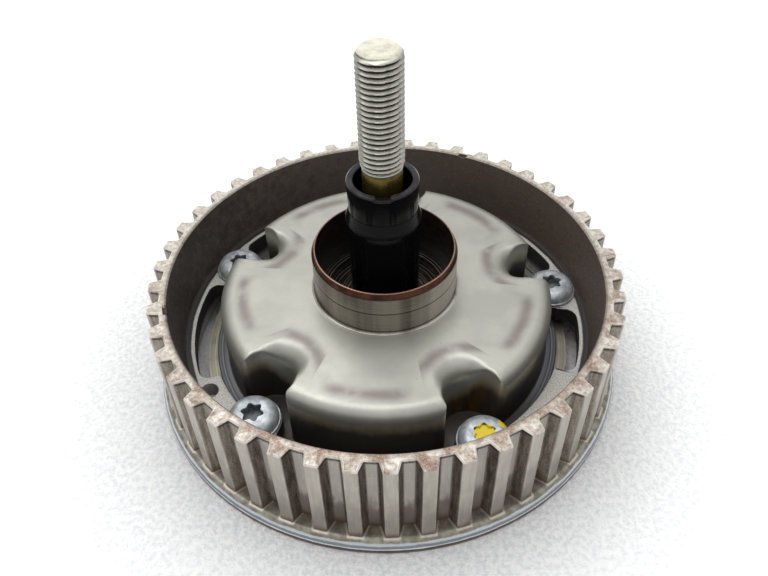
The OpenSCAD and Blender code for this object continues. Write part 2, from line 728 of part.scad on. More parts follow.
module oil_sleeve() {
    collar_top = sleeve_top - sleeve_upper_len;
    collar_foot = collar_top - sleeve_collar_h;
    collar_r = sleeve_r + sleeve_collar;
    mouth_z = sleeve_top - sleeve_lip;
    section = [
        [sleeve_bore_r, sleeve_seat_z], [sleeve_low_r, sleeve_seat_z], [sleeve_low_r, collar_foot],
        [collar_r, collar_foot + sleeve_collar], [collar_r, collar_foot + 2 * sleeve_collar],
        [sleeve_r - sleeve_waist, collar_top], [sleeve_r, mouth_z], [sleeve_r - sleeve_lip, sleeve_top],
        [sleeve_bore_r + sleeve_lip, sleeve_top], [sleeve_bore_r, mouth_z]
    ];
    groove_foot = cam_seat_z + through;
    groove_top = collar_foot + sleeve_collar / 2;
    color(plastic_colour) difference() {
        rotate_extrude($fn = 72) polygon(section);
        for (a = [45:90:315]) rotate(a)
            translate([sleeve_r + sleeve_groove_r - sleeve_groove, 0, groove_foot])
                cylinder(r = sleeve_groove_r, h = groove_top - groove_foot, $fn = 32);
        translate([-sleeve_notch_w / 2, -sleeve_r - through, sleeve_top - sleeve_notch_depth])
            cube([sleeve_notch_w, sleeve_wall + 2 * through, sleeve_notch_depth + through]);
    }
}

module centre_bolt() {
    shank_r = bolt_shank_d / 2;
    thread_z = bolt_end - bolt_thread_len;
    run_out = bolt_r - shank_r;
    hex_bottom = bolt_seat_z - bolt_flange_t - bolt_hex_h;
    section = [
        [0, bolt_seat_z - bolt_flange_t], [bolt_flange_d / 2, bolt_seat_z - bolt_flange_t],
        [bolt_flange_d / 2, bolt_seat_z], [shank_r, bolt_seat_z], [shank_r, thread_z - run_out],
        [bolt_r, thread_z], [bolt_r, bolt_end - bolt_chamfer],
        [bolt_r - bolt_chamfer, bolt_end], [0, bolt_end]
    ];
    color(bolt_colour) union() {
        rotate_extrude($fn = 72) polygon(section);
        translate([0, 0, hex_bottom]) cylinder(d = bolt_hex_w / cos(30), h = bolt_hex_h + through, $fn = 6);
    }
}

belt_pulley();
guide_flange();
stator_housing();
front_cover();
cover_seal();
clamp_screws();
front_plug();
plug_seal();
lock_bush();
rotor();
tip_seal(0);  // tip_seal_1
tip_seal(1);  // tip_seal_2
tip_seal(2);  // tip_seal_3
tip_seal(3);  // tip_seal_4
tip_seal(4);  // tip_seal_5
seal_spring(0);  // seal_spring_1
seal_spring(1);  // seal_spring_2
seal_spring(2);  // seal_spring_3
seal_spring(3);  // seal_spring_4
seal_spring(4);  // seal_spring_5
lock_pin();
lock_spring();
lock_cap();
oil_sleeve();
centre_bolt();
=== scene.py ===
"""Dress a belt-driven camshaft phaser: model its visible pieces and finish every surface.

The frame is in metres, with +Z along the axis of rotation and the guide flange's lower edge at 0.
Sizes in the classes below are millimetres, and angles are degrees counted from +X.
"""

from __future__ import annotations

import logging
import math
from collections.abc import Sequence
from dataclasses import dataclass
from enum import Enum

import bmesh
import bpy
import numpy as np
from mathutils import Matrix, Vector

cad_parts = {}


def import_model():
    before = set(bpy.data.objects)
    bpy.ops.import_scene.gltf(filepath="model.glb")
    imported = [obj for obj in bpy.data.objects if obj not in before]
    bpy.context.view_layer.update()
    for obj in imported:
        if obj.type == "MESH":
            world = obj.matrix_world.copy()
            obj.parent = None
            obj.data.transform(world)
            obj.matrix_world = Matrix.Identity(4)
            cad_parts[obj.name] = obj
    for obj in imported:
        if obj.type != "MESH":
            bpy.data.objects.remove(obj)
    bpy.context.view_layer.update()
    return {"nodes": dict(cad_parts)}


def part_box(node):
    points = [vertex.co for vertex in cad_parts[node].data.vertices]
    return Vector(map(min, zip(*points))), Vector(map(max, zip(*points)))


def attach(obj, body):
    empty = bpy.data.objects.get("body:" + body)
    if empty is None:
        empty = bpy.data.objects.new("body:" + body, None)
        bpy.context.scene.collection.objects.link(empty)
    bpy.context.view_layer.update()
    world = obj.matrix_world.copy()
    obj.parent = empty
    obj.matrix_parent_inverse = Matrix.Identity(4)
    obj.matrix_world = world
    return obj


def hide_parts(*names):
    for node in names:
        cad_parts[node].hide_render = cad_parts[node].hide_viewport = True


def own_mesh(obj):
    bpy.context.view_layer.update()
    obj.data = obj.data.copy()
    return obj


LOG = logging.getLogger("cam_phaser")
MM = 0.001
SMOOTH_DEGREES = 32.0
WELD_GAP = 0.001
DRILL_SIDES = 48
DRILL_OVERRUN = 1.0
NOISE_SPAN = (0.3, 0.7)
PATCH_SPAN = (0.35, 0.65)
UPRIGHT = (1.0, 1.0, 0.12)
ROUND_ABOUT = (1.0, 1.0, 0.06)
LINE_DETAIL = 5.0
SRGB_TOE = 0.04045
SRGB_TOE_SLOPE = 12.92
SRGB_OFFSET = 0.055
SRGB_POWER = 2.4

Colour = tuple[float, float, float, float]
Item = bpy.types.Object
Socket = bpy.types.NodeSocket
Value = Socket | float | Colour

WHITE: Colour = (1.0, 1.0, 1.0, 1.0)


class Body(Enum):
    """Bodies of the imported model."""

    HOUSING = "housing"
    ROTOR = "rotor"


class Slot(Enum):
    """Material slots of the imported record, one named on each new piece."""

    SINTERED = "sintered_steel"
    FLANGE = "flange_sheet"
    DRAWN = "drawn_steel"
    ZINC = "screw_zinc"
    SLEEVE = "sleeve_plastic"
    BOLT = "bolt_steel"
    SPRING = "spring_steel"


def shade(red: int, green: int, blue: int) -> Colour:
    """Turn a display colour of 0 to 255 into the linear colour that a socket takes.

    Args:
        red: red of the display colour.
        green: green of the display colour.
        blue: blue of the display colour.

    Returns:
        The linear colour with full alpha.
    """

    def linear(level: int) -> float:
        """Undo the display curve for one channel."""
        part = level / 255
        if part <= SRGB_TOE:
            return part / SRGB_TOE_SLOPE
        return ((part + SRGB_OFFSET) / (1 + SRGB_OFFSET)) ** SRGB_POWER

    return linear(red), linear(green), linear(blue), 1.0


class NodeGraph:
    """Node tree of one material, built by short calls that return sockets, in millimetres."""

    def __init__(self, name: str) -> None:
        """Start a material that holds one principled shader.

        Args:
            name: name of the material.
        """
        self.material = bpy.data.materials.new(name)
        self.material.use_nodes = True
        self.tree = self.material.node_tree
        self.tree.nodes.clear()
        self.shader = self.add("ShaderNodeBsdfPrincipled")
        end = self.add("ShaderNodeOutputMaterial")
        self.tree.links.new(self.shader.outputs["BSDF"], end.inputs["Surface"])
        scaled = self.add("ShaderNodeVectorMath", operation="SCALE")
        self.feed(scaled.inputs["Vector"], self.add("ShaderNodeTexCoord").outputs["Object"])
        self.feed(scaled.inputs["Scale"], 1 / MM)
        self.place = scaled.outputs["Vector"]
        axes = self.add("ShaderNodeSeparateXYZ")
        self.feed(axes.inputs["Vector"], self.place)
        self.x, self.y, self.z = axes.outputs["X"], axes.outputs["Y"], axes.outputs["Z"]
        self.colour: Value = WHITE

    def add(self, kind: str, **settings: object) -> bpy.types.Node:
        """Add a node.

        Args:
            kind: Blender's name of the node type.
            settings: properties to set on the node.

        Returns:
            The new node.
        """
        node = self.tree.nodes.new(kind)
        for key, setting in settings.items():
            setattr(node, key, setting)
        return node

    def feed(self, socket: Socket, value: Value) -> None:
        """Link a socket to an input, or set a constant on it.

        Args:
            socket: the input.
            value: an output socket, a number or a colour.
        """
        if isinstance(value, Socket):
            self.tree.links.new(value, socket)
        else:
            socket.default_value = value

    def surface(self, **values: Value) -> None:
        """Feed the shader the colour so far, and its other inputs by name.

        Args:
            values: what each input takes, its name in lower case with underscores for spaces.
        """
        self.feed(self.shader.inputs["Base Color"], self.colour)
        for key, value in values.items():
            name = "IOR" if key == "ior" else key.replace("_", " ").title()
            self.feed(self.shader.inputs[name], value)

    def math(self, operation: str, *values: Value) -> Socket:
        """Combine numbers.

        Args:
            operation: name of the operation.
            values: its operands.

        Returns:
            The result.
        """
        node = self.add("ShaderNodeMath", operation=operation)
        for socket, value in zip(node.inputs, values):
            self.feed(socket, value)
        return node.outputs["Value"]

    def times(self, first: Value, *others: Value) -> Socket:
        """Multiply numbers with each other.

        Args:
            first: the first factor.
            others: the other factors.

        Returns:
            The product.
        """
        product = first
        for other in others:
            product = self.math("MULTIPLY", product, other)
        return product

    def either(self, first: Value, second: Value) -> Socket:
        """Return the larger of two masks."""
        return self.math("MAXIMUM", first, second)

    def shifted(self, value: Value, noise: Value, amount: float) -> Socket:
        """Make a value ragged.

        Args:
            value: the value to move.
            noise: a noise with its middle near one half.
            amount: how far the whole range of the noise moves the value.

        Returns:
            The moved value.
        """
        return self.math("MULTIPLY_ADD", self.math("SUBTRACT", noise, 0.5), amount, value)

    def span(
        self, value: Value, low: float, high: float, to: tuple[float, float] = (0.0, 1.0)
    ) -> Value:
        """Step smoothly between two values.

        Args:
            value: the value to test.
            low: where the step starts.
            high: where the step ends, which may be below the start.
            to: results at the start and at the end.

        Returns:
            The stepped value.
        """
        node = self.add("ShaderNodeMapRange", interpolation_type="SMOOTHSTEP")
        for key, number in zip(
            ("Value", "From Min", "From Max", "To Min", "To Max"), (value, low, high, *to)
        ):
            self.feed(node.inputs[key], number)
        return node.outputs["Result"]

    def vary(self, noise: Value, low: float, high: float) -> Value:
        """Return a value that follows a noise from one level to another."""
        return self.span(noise, *NOISE_SPAN, (low, high))

    def patches(self, noise: Value) -> Value:
        """Return a mask of soft patches, cut out of a noise."""
        return self.span(noise, *PATCH_SPAN)

    def band(self, value: Value, middle: float, half: float) -> Socket:
        """Return a mask that is 1 at a middle value and fades to 0 at half a width on each side."""
        away = self.math("ABSOLUTE", self.math("SUBTRACT", value, middle))
        return self.span(away, half, 0.0)

    def blend(self, share: Value, low: Value, high: Value, mode: str = "MIX") -> Socket:
        """Mix two colours.

        Args:
            share: how much of the second colour shows.
            low: the first colour.
            high: the second colour.
            mode: how they mix.

        Returns:
            The mixed colour.
        """
        node = self.add("ShaderNodeMix", data_type="RGBA", blend_type=mode)
        for index, value in ((0, share), (6, low), (7, high)):
            self.feed(node.inputs[index], value)
        return node.outputs[2]

    def coat(self, tone: Value, *masks: Value) -> None:
        """Lay a colour over the colour so far, where all of the masks are high."""
        self.colour = self.blend(self.times(*masks), self.colour, tone)

    def noise(
        self,
        size: float,
        detail: float = 4.0,
        rough: float = 0.55,
        stretch: tuple[float, float, float] = (1.0, 1.0, 1.0),
        warp: float = 0.0,
    ) -> Socket:
        """Add a noise over the piece.

        Args:
            size: size of its features.
            detail: number of finer layers.
            rough: strength of the finer layers.
            stretch: factors on the axes, where a small one makes streaks along its axis.
            warp: how far the pattern is distorted.

        Returns:
            The noise, from 0 to 1.
        """
        node = self.add("ShaderNodeTexNoise")
        drawn = self.add("ShaderNodeVectorMath", operation="MULTIPLY")
        self.feed(drawn.inputs[0], self.place)
        drawn.inputs[1].default_value = stretch
        self.feed(node.inputs["Vector"], drawn.outputs["Vector"])
        for key, number in (
            ("Scale", 1 / size), ("Detail", detail), ("Roughness", rough), ("Distortion", warp)
        ):
            node.inputs[key].default_value = number
        return node.outputs["Fac"]

    def lines(self, value: Value, size: float) -> Socket:
        """Return fine uneven lines that run across the change of a value, such as tool marks."""
        node = self.add("ShaderNodeTexNoise", noise_dimensions="1D")
        self.feed(node.inputs["W"], value)
        node.inputs["Scale"].default_value = 1 / size
        node.inputs["Detail"].default_value = LINE_DETAIL
        return node.outputs["Fac"]

    def field(self, across: Value, along: Value) -> Socket:
        """Return a noise over two values that are counted in features, such as streaks."""
        joined = self.add("ShaderNodeCombineXYZ")
        self.feed(joined.inputs["X"], across)
        self.feed(joined.inputs["Y"], along)
        node = self.add("ShaderNodeTexNoise", noise_dimensions="2D")
        self.feed(node.inputs["Vector"], joined.outputs["Vector"])
        node.inputs["Scale"].default_value = 1.0
        node.inputs["Detail"].default_value = LINE_DETAIL
        return node.outputs["Fac"]

    def turn(self) -> Socket:
        """Return the angle about the axis."""
        return self.times(self.math("ARCTAN2", self.y, self.x), math.degrees(1))

    def radius(self, x: float = 0.0, y: float = 0.0) -> Socket:
        """Return the distance from an upright axis through a point."""
        across = self.math("SUBTRACT", self.x, x)
        along = self.math("SUBTRACT", self.y, y)
        squares = self.math("ADD", self.times(across, across), self.times(along, along))
        return self.math("SQRT", squares)

    def mark(self, name: str) -> Socket:
        """Return a value stored on the points of the piece's mesh."""
        return self.add("ShaderNodeAttribute", attribute_name=name).outputs["Fac"]

    def bump(self, height: Value, depth: float) -> None:
        """Give the surface a fine relief.

        Args:
            height: the relief, from 0 to 1.
            depth: its depth.
        """
        node = self.add("ShaderNodeBump")
        self.feed(node.inputs["Height"], height)
        node.inputs["Distance"].default_value = depth * MM
        self.feed(self.shader.inputs["Normal"], node.outputs["Normal"])


@dataclass(frozen=True)
class Finish:
    """A surface finish, made into a material."""

    name: str

    def paint(self, graph: NodeGraph) -> None:
        """Draw the finish into a node graph.

        Args:
            graph: the graph of the new material.
        """
        raise NotImplementedError

    def material(self) -> bpy.types.Material:
        """Return a new material with this finish."""
        graph = NodeGraph(self.name)
        self.paint(graph)
        return graph.material


@dataclass(frozen=True)
class BeltTeeth(Finish):
    """Teeth polished by the belt, brown on their flanks, partly in painted shade that lightens
    towards the sides, darker in their corners, with a painted highlight along the tip edges.
    """

    land: Colour = shade(186, 181, 171)
    low_land: Colour = shade(158, 151, 141)
    tip_glint: Colour = shade(222, 216, 206)
    flank: Colour = shade(120, 107, 96)
    shadow: Colour = shade(62, 53, 46)
    lit_side_flank: Colour = shade(178, 168, 155)
    lit_side_shadow: Colour = shade(128, 117, 105)
    polished: Colour = shade(190, 184, 174)
    low_floor: Colour = shade(132, 120, 111)
    rust: Colour = shade(104, 74, 58)
    grime: Colour = shade(30, 26, 24)
    foot: float = 4.4
    top: float = 34.4
    polish_end: float = 15.0
    cloud_size: float = 5.0
    fine_size: float = 0.5
    streak_size: float = 0.8
    rough: tuple[float, float] = (0.36, 0.54)
    metals: tuple[float, float] = (0.6, 0.4)
    relief: float = 0.03

    def paint(self, graph: NodeGraph) -> None:
        """Draw the finish into a node graph.

        Args:
            graph: the graph of the new material.
        """
        depth = graph.mark("depth")
        cloud = graph.noise(self.cloud_size)
        fine = graph.noise(self.fine_size)
        streak = graph.noise(self.streak_size, 5.0, stretch=UPRIGHT)
        # Painted highlight: a bright band along the rounded tip edges of the lands.
        glinting_edge = graph.band(graph.shifted(depth, fine, 0.06), 0.05, 0.05)
        land = graph.blend(
            graph.span(graph.shifted(graph.z, cloud, 10.0), 26.0, 9.0), self.land, self.low_land
        )
        land = graph.blend(
            graph.times(glinting_edge, graph.span(streak, 0.3, 0.6, (0.2, 0.8))), land, self.tip_glint
        )
        # Painted light: the flanks lighten towards the left and right, where more light falls, and
        # keep painted shade at the front.
        side = graph.span(graph.math("ABSOLUTE", graph.x), 22.0, 56.0)
        dark = graph.blend(side, self.shadow, self.lit_side_shadow)
        light = graph.blend(side, self.flank, self.lit_side_flank)
        brown = graph.blend(graph.span(graph.math("ADD", streak, fine), 0.75, 1.25), dark, light)
        graph.colour = graph.blend(graph.span(depth, 0.1, 0.22), land, brown)
        ragged = graph.shifted(graph.shifted(graph.z, cloud, 8.0), streak, 6.0)
        low = graph.span(ragged, self.polish_end + 3.0, self.polish_end - 3.0)
        floor = graph.blend(low, self.polished, self.low_floor)
        strip = graph.span(graph.shifted(graph.mark("crease"), streak, 0.4), 0.8, 0.35)
        graph.coat(floor, strip, graph.span(depth, 0.9, 0.98))
        tone = graph.span(graph.math("ADD", streak, cloud), 0.7, 1.3, (0.84, 1.06))
        graph.colour = graph.blend(1.0, graph.colour, tone, "MULTIPLY")
        rusty = graph.span(graph.shifted(graph.z, cloud, 3.0), self.foot + 2.6, self.foot + 0.3)
        graph.coat(self.rust, rusty, 0.6)
        dots = graph.times(
            graph.span(graph.noise(0.7, 2.0), 0.7, 0.76), graph.span(cloud, 0.5, 0.6)
        )
        under = graph.band(graph.shifted(graph.z, fine, 0.8), self.top - 0.95, 0.75)
        dirt = graph.either(
            graph.times(under, graph.span(depth, 0.1, 0.3), 0.9), graph.times(dots, 0.7)
        )
        graph.coat(self.grime, dirt)
        graph.surface(
            metallic=graph.span(depth, 0.1, 0.3, self.metals),
            roughness=graph.vary(cloud, *self.rough),
        )
        graph.bump(graph.math("ADD", fine, streak), self.relief)


@dataclass(frozen=True)
class RimLand(Finish):
    """Upper face of the rim: cream sintered steel with brown patches and a painted highlight along
    its outer edge.
    """

    cream: Colour = shade(228, 221, 210)
    dull: Colour = shade(190, 181, 168)
    rust: Colour = shade(140, 112, 94)
    dark: Colour = shade(78, 64, 56)
    lip: Colour = shade(240, 234, 224)
    bore_r: float = 63.5
    cloud_size: float = 5.0
    fine_size: float = 0.5
    rough: tuple[float, float] = (0.36, 0.55)
    metal: float = 0.4
    relief: float = 0.02

    def paint(self, graph: NodeGraph) -> None:
        """Draw the finish into a node graph.

        Args:
            graph: the graph of the new material.
        """
        cloud = graph.noise(self.cloud_size, 8.0, 0.66, warp=0.4)
        fine = graph.noise(self.fine_size, 5.0)
        graph.colour = graph.blend(
            graph.span(graph.noise(1.1, 6.0, 0.65), 0.38, 0.6), self.dull, self.cream
        )
        front = graph.span(graph.y, 50.0, -60.0, (-0.03, 0.11))
        rusty = graph.span(graph.math("ADD", cloud, front), 0.46, 0.74)
        graph.coat(self.rust, rusty, graph.span(fine, 0.3, 0.6, (0.5, 1.0)))
        # Painted highlight: a bright line along the rounded outer edge round the teeth.
        lip = graph.span(graph.shifted(graph.mark("lip"), fine, 0.6), 0.4, 0.9)
        graph.coat(self.lip, lip, graph.span(cloud, 0.62, 0.4, (0.15, 0.85)))
        pits = graph.span(graph.noise(0.45, 3.0), 0.66, 0.74)
        rim = graph.span(graph.shifted(graph.radius(), cloud, 2.4), self.bore_r + 1.5, self.bore_r)
        graph.coat(self.dark, graph.either(graph.times(pits, 0.7), graph.times(rim, 0.5)))
        graph.surface(metallic=self.metal, roughness=graph.vary(cloud, *self.rough))
        graph.bump(fine, self.relief)


@dataclass(frozen=True)
class RimWall(Finish):
    """Bore of the rim, blackened by oil and dust, lighter and browner towards the back and right in
    painted light, with fine pale specks.
    """

    black: Colour = shade(64, 57, 53)
    brown: Colour = shade(98, 88, 81)
    rust: Colour = shade(96, 64, 50)
    pale: Colour = shade(158, 150, 138)
    cloud_size: float = 3.0
    fine_size: float = 0.6
    rough: tuple[float, float] = (0.45, 0.65)
    metal: float = 0.25
    relief: float = 0.05

    def paint(self, graph: NodeGraph) -> None:
        """Draw the finish into a node graph.

        Args:
            graph: the graph of the new material.
        """
        cloud = graph.noise(self.cloud_size, 7.0, 0.7)
        fine = graph.noise(self.fine_size, 6.0, 0.7)
        # Painted light: the wall turns browner and lighter towards the back and the right, where
        # the light falls.
        side = graph.span(
            graph.math("ADD", graph.times(graph.x, 0.8), graph.y), -40.0, 60.0, (0.0, 0.3)
        )
        dusty = graph.span(graph.math("ADD", cloud, side), 0.42, 0.82)
        graph.colour = graph.blend(dusty, self.black, self.brown)
        right = graph.times(
            graph.span(graph.x, -20.0, 60.0), graph.span(graph.math("ADD", cloud, fine), 0.95, 1.2)
        )
        graph.coat(self.rust, right, 0.7)
        specks = graph.times(
            graph.span(graph.noise(0.42, 2.0), 0.62, 0.7), graph.span(cloud, 0.36, 0.6)
        )
        graph.coat(self.pale, specks, 0.55)
        graph.surface(metallic=self.metal, roughness=graph.vary(fine, *self.rough))
        graph.bump(graph.math("ADD", fine, specks), self.relief)


@dataclass(frozen=True)
class CastWeb(Finish):
    """Web and arms of the pulley: pale and grainy on top, dark purple towards the front in painted
    shade, black on the window walls in painted shade and by the rim's foot, with dark specks.
    """

    pale: Colour = shade(212, 209, 202)
    grey: Colour = shade(164, 161, 155)
    black: Colour = shade(46, 42, 40)
    front_shade: Colour = shade(84, 74, 76)
    dark_margin_r: float = 60.2
    skirt_top: float = 9.0
    cloud_size: float = 6.0
    fine_size: float = 0.45
    rough: tuple[float, float] = (0.42, 0.6)
    metal: float = 0.1
    relief: float = 0.05

    def paint(self, graph: NodeGraph) -> None:
        """Draw the finish into a node graph.

        Args:
            graph: the graph of the new material.
        """
        cloud = graph.noise(self.cloud_size, 5.0)
        fine = graph.noise(self.fine_size)
        graph.colour = graph.blend(graph.span(fine, 0.3, 0.62), self.grey, self.pale)
        # Painted shade: the web turns dark purple towards the front, under the front of the rim.
        front = graph.times(graph.span(graph.y, -40.0, -52.0), graph.span(graph.x, 40.0, 28.0))
        graph.coat(self.front_shade, front, 0.85)
        # Black from the dark margin's radius outwards, on the web by the rim's foot.
        wall = graph.span(
            graph.shifted(graph.radius(), cloud, 0.8), self.dark_margin_r - 0.25, self.dark_margin_r + 0.25
        )
        wall = graph.times(wall, graph.span(graph.z, self.skirt_top - 3.0, self.skirt_top - 1.0))
        dots = graph.times(graph.span(graph.noise(0.6, 3.0), 0.66, 0.74), 0.6)
        # Painted shade: the window walls and the skirt's inside, marked side, turn black; dark
        # specks join them.
        deep = graph.either(wall, graph.span(graph.mark("side"), 0.3, 0.8))
        graph.coat(self.black, graph.either(deep, dots))
        graph.surface(metallic=self.metal, roughness=graph.vary(fine, *self.rough))
        graph.bump(fine, self.relief)


@dataclass(frozen=True)
class FlangeSheet(Finish):
    """Rolled sheet: olive grey on top, with a painted highlight round the teeth's feet, painted
    reflection bands on the bend and rust below.
    """

    top_face: Colour = shade(162, 160, 147)
    dusk: Colour = shade(130, 124, 111)
    cream: Colour = shade(224, 216, 202)
    silver: Colour = shade(212, 217, 221)
    slate_reflection: Colour = shade(134, 141, 150)
    white: Colour = shade(232, 234, 236)
    dark: Colour = shade(72, 66, 64)
    rust: Colour = shade(104, 76, 64)
    tooth_count: int = 46
    tip_r: float = 69.05
    half_land: float = 1.7
    flank_slope: float = 0.364
    fine_size: float = 0.6
    rough: tuple[float, float] = (0.28, 0.42)
    metals: tuple[float, float] = (0.2, 0.5)
    relief: float = 0.012

    def paint(self, graph: NodeGraph) -> None:
        """Draw the finish into a node graph.

        Args:
            graph: the graph of the new material.
        """
        radius = graph.radius()
        turn = graph.turn()
        fine = graph.noise(self.fine_size, 5.0)
        drawn = graph.field(graph.times(turn, 0.22), graph.times(graph.z, 1.6))
        graph.colour = graph.blend(graph.patches(graph.noise(2.2, 5.0)), self.dusk, self.top_face)
        pitch = 2 * math.pi * self.tip_r / self.tooth_count
        phase = graph.math("FRACT", graph.times(turn, self.tooth_count / 360))
        aside = graph.times(graph.math("ABSOLUTE", graph.math("SUBTRACT", phase, 0.5)), pitch)
        beyond = graph.math("SUBTRACT", radius, self.tip_r)
        flank = graph.math(
            "ADD",
            graph.math("SUBTRACT", aside, self.half_land),
            graph.times(beyond, self.flank_slope),
        )
        # Painted highlight: a cream line round the feet of the teeth, as light on a fillet.
        outline = graph.band(graph.shifted(graph.either(flank, beyond), fine, 0.4), 0.4, 0.5)
        graph.coat(self.cream, outline, 0.75)
        # Painted reflection: silver, slate, white and dark bands down the bend, then real rust at
        # the lower edge.
        height = graph.shifted(graph.shifted(graph.z, drawn, 0.5), fine, 0.3)
        for low, high, tone in (
            (3.8, 3.6, self.silver),
            (3.3, 3.0, self.slate_reflection),
            (2.4, 2.2, self.white),
            (1.9, 1.7, self.dark),
            (1.2, 0.8, self.rust),
        ):
            graph.coat(tone, graph.span(height, low, high))
        graph.surface(
            metallic=graph.span(graph.z, 0.6, 2.0, self.metals),
            roughness=graph.vary(fine, *self.rough),
        )
        graph.bump(fine, self.relief)


@dataclass(frozen=True)
class DrawnSkin(Finish):
    """Satin sheet of the housing, with smudged press marks on top and walls black with oil and
    painted reflection of the dark surroundings.
    """

    pale: Colour = shade(186, 186, 177)
    cool: Colour = shade(174, 174, 166)
    smudge: Colour = shade(128, 117, 115)
    speck: Colour = shade(120, 92, 70)
    olive: Colour = shade(148, 139, 118)
    oil: Colour = shade(66, 60, 56)
    amber: Colour = shade(112, 76, 30)
    brim: Colour = shade(128, 136, 144)
    top: float = 29.1
    foot: float = 9.0
    smudge_inset: float = 6.8
    dome_lift: float = 6.5
    amber_at: tuple[float, float] = (20.0, -38.0)
    cloud_size: float = 12.0
    wall_cloud_size: float = 7.0
    fine_size: float = 0.7
    streak_size: float = 2.2
    rough: tuple[float, float] = (0.34, 0.44)
    metals: tuple[float, float] = (0.7, 0.3)
    relief: float = 0.008

    def smudges(self, graph: NodeGraph) -> Socket:
        """Draw the rubbed bands that run along the lobes and round the notches.

        Args:
            graph: the graph of the new material.

        Returns:
            Their mask.
        """
        inset = graph.shifted(graph.mark("inset"), graph.noise(14.0, 2.0), 2.0)
        frayed = graph.shifted(inset, graph.noise(0.9, 6.0, 0.75), 2.6)
        soft = graph.times(graph.band(inset, self.smudge_inset + 0.3, 3.1), 0.8)
        line = graph.times(graph.band(frayed, self.smudge_inset, 1.3), 0.75)
        ends = graph.either(
            graph.span(graph.mark("lobe"), 0.1, 0.45), graph.span(graph.mark("notch"), 0.3, 0.9)
        )
        return graph.times(
            graph.either(soft, line),
            ends,
            graph.span(graph.noise(7.0, 3.0), 0.3, 0.55, (0.45, 1.0)),
        )

    def walls(self, graph: NodeGraph) -> tuple[Socket, Socket]:
        """Draw the oil and the painted dark reflection that darken the walls downwards.

        Args:
            graph: the graph of the new material.

        Returns:
            The wall's colour and how far the oil and the painted reflection cover the sheet.
        """
        cloud = graph.noise(self.wall_cloud_size)
        streak = graph.noise(self.streak_size, 5.0, stretch=UPRIGHT)
        height = graph.shifted(graph.shifted(graph.z, streak, 2.6), cloud, 3.4)
        # The notch ends lift this line, so their rounded tops stay pale like a highlight.
        height = graph.math("MULTIPLY_ADD", graph.mark("dome"), self.dome_lift, height)
        # Oil and painted reflection of the dark surroundings cover the wall from this line down.
        covered = graph.span(height, self.top - 1.9, self.top - 5.2)
        deep = graph.span(height, self.top - 4.0, self.top - 8.6)
        glow = graph.span(graph.radius(*self.amber_at), 12.0, 5.0)
        black = graph.blend(
            graph.times(glow, graph.span(streak, 0.4, 0.6), 0.7), self.oil, self.amber
        )
        return graph.blend(deep, self.olive, black), covered

    def paint(self, graph: NodeGraph) -> None:
        """Draw the finish into a node graph.

        Args:
            graph: the graph of the new material.
        """
        cloud = graph.noise(self.cloud_size)
        fine = graph.noise(self.fine_size, 6.0)
        graph.colour = graph.blend(graph.patches(cloud), self.cool, self.pale)
        smudged = self.smudges(graph)
        graph.coat(self.smudge, smudged)
        spots = graph.times(
            graph.span(graph.noise(0.8, 3.0), 0.68, 0.74), graph.span(cloud, 0.48, 0.6)
        )
        graph.coat(self.speck, spots, 0.7)
        oily, covered = self.walls(graph)
        graph.coat(oily, covered)
        brim = graph.span(graph.z, self.foot + 0.5, self.foot + 0.2)
        # The brim stays dark with oil and painted shade at the front and at the notches, and shows
        # its turned rings elsewhere.
        shown = graph.times(
            graph.span(graph.mark("notch"), 0.3, 0.0), graph.span(graph.y, -36.0, -22.0)
        )
        rings = graph.lines(graph.radius(), 0.5)
        ringed = graph.blend(graph.span(rings, 0.4, 0.62), self.oil, self.brim)
        graph.coat(graph.blend(shown, self.oil, ringed), brim)
        graph.surface(
            metallic=graph.span(covered, 0.0, 1.0, self.metals),
            roughness=graph.vary(fine, *self.rough),
        )
        graph.bump(fine, self.relief)


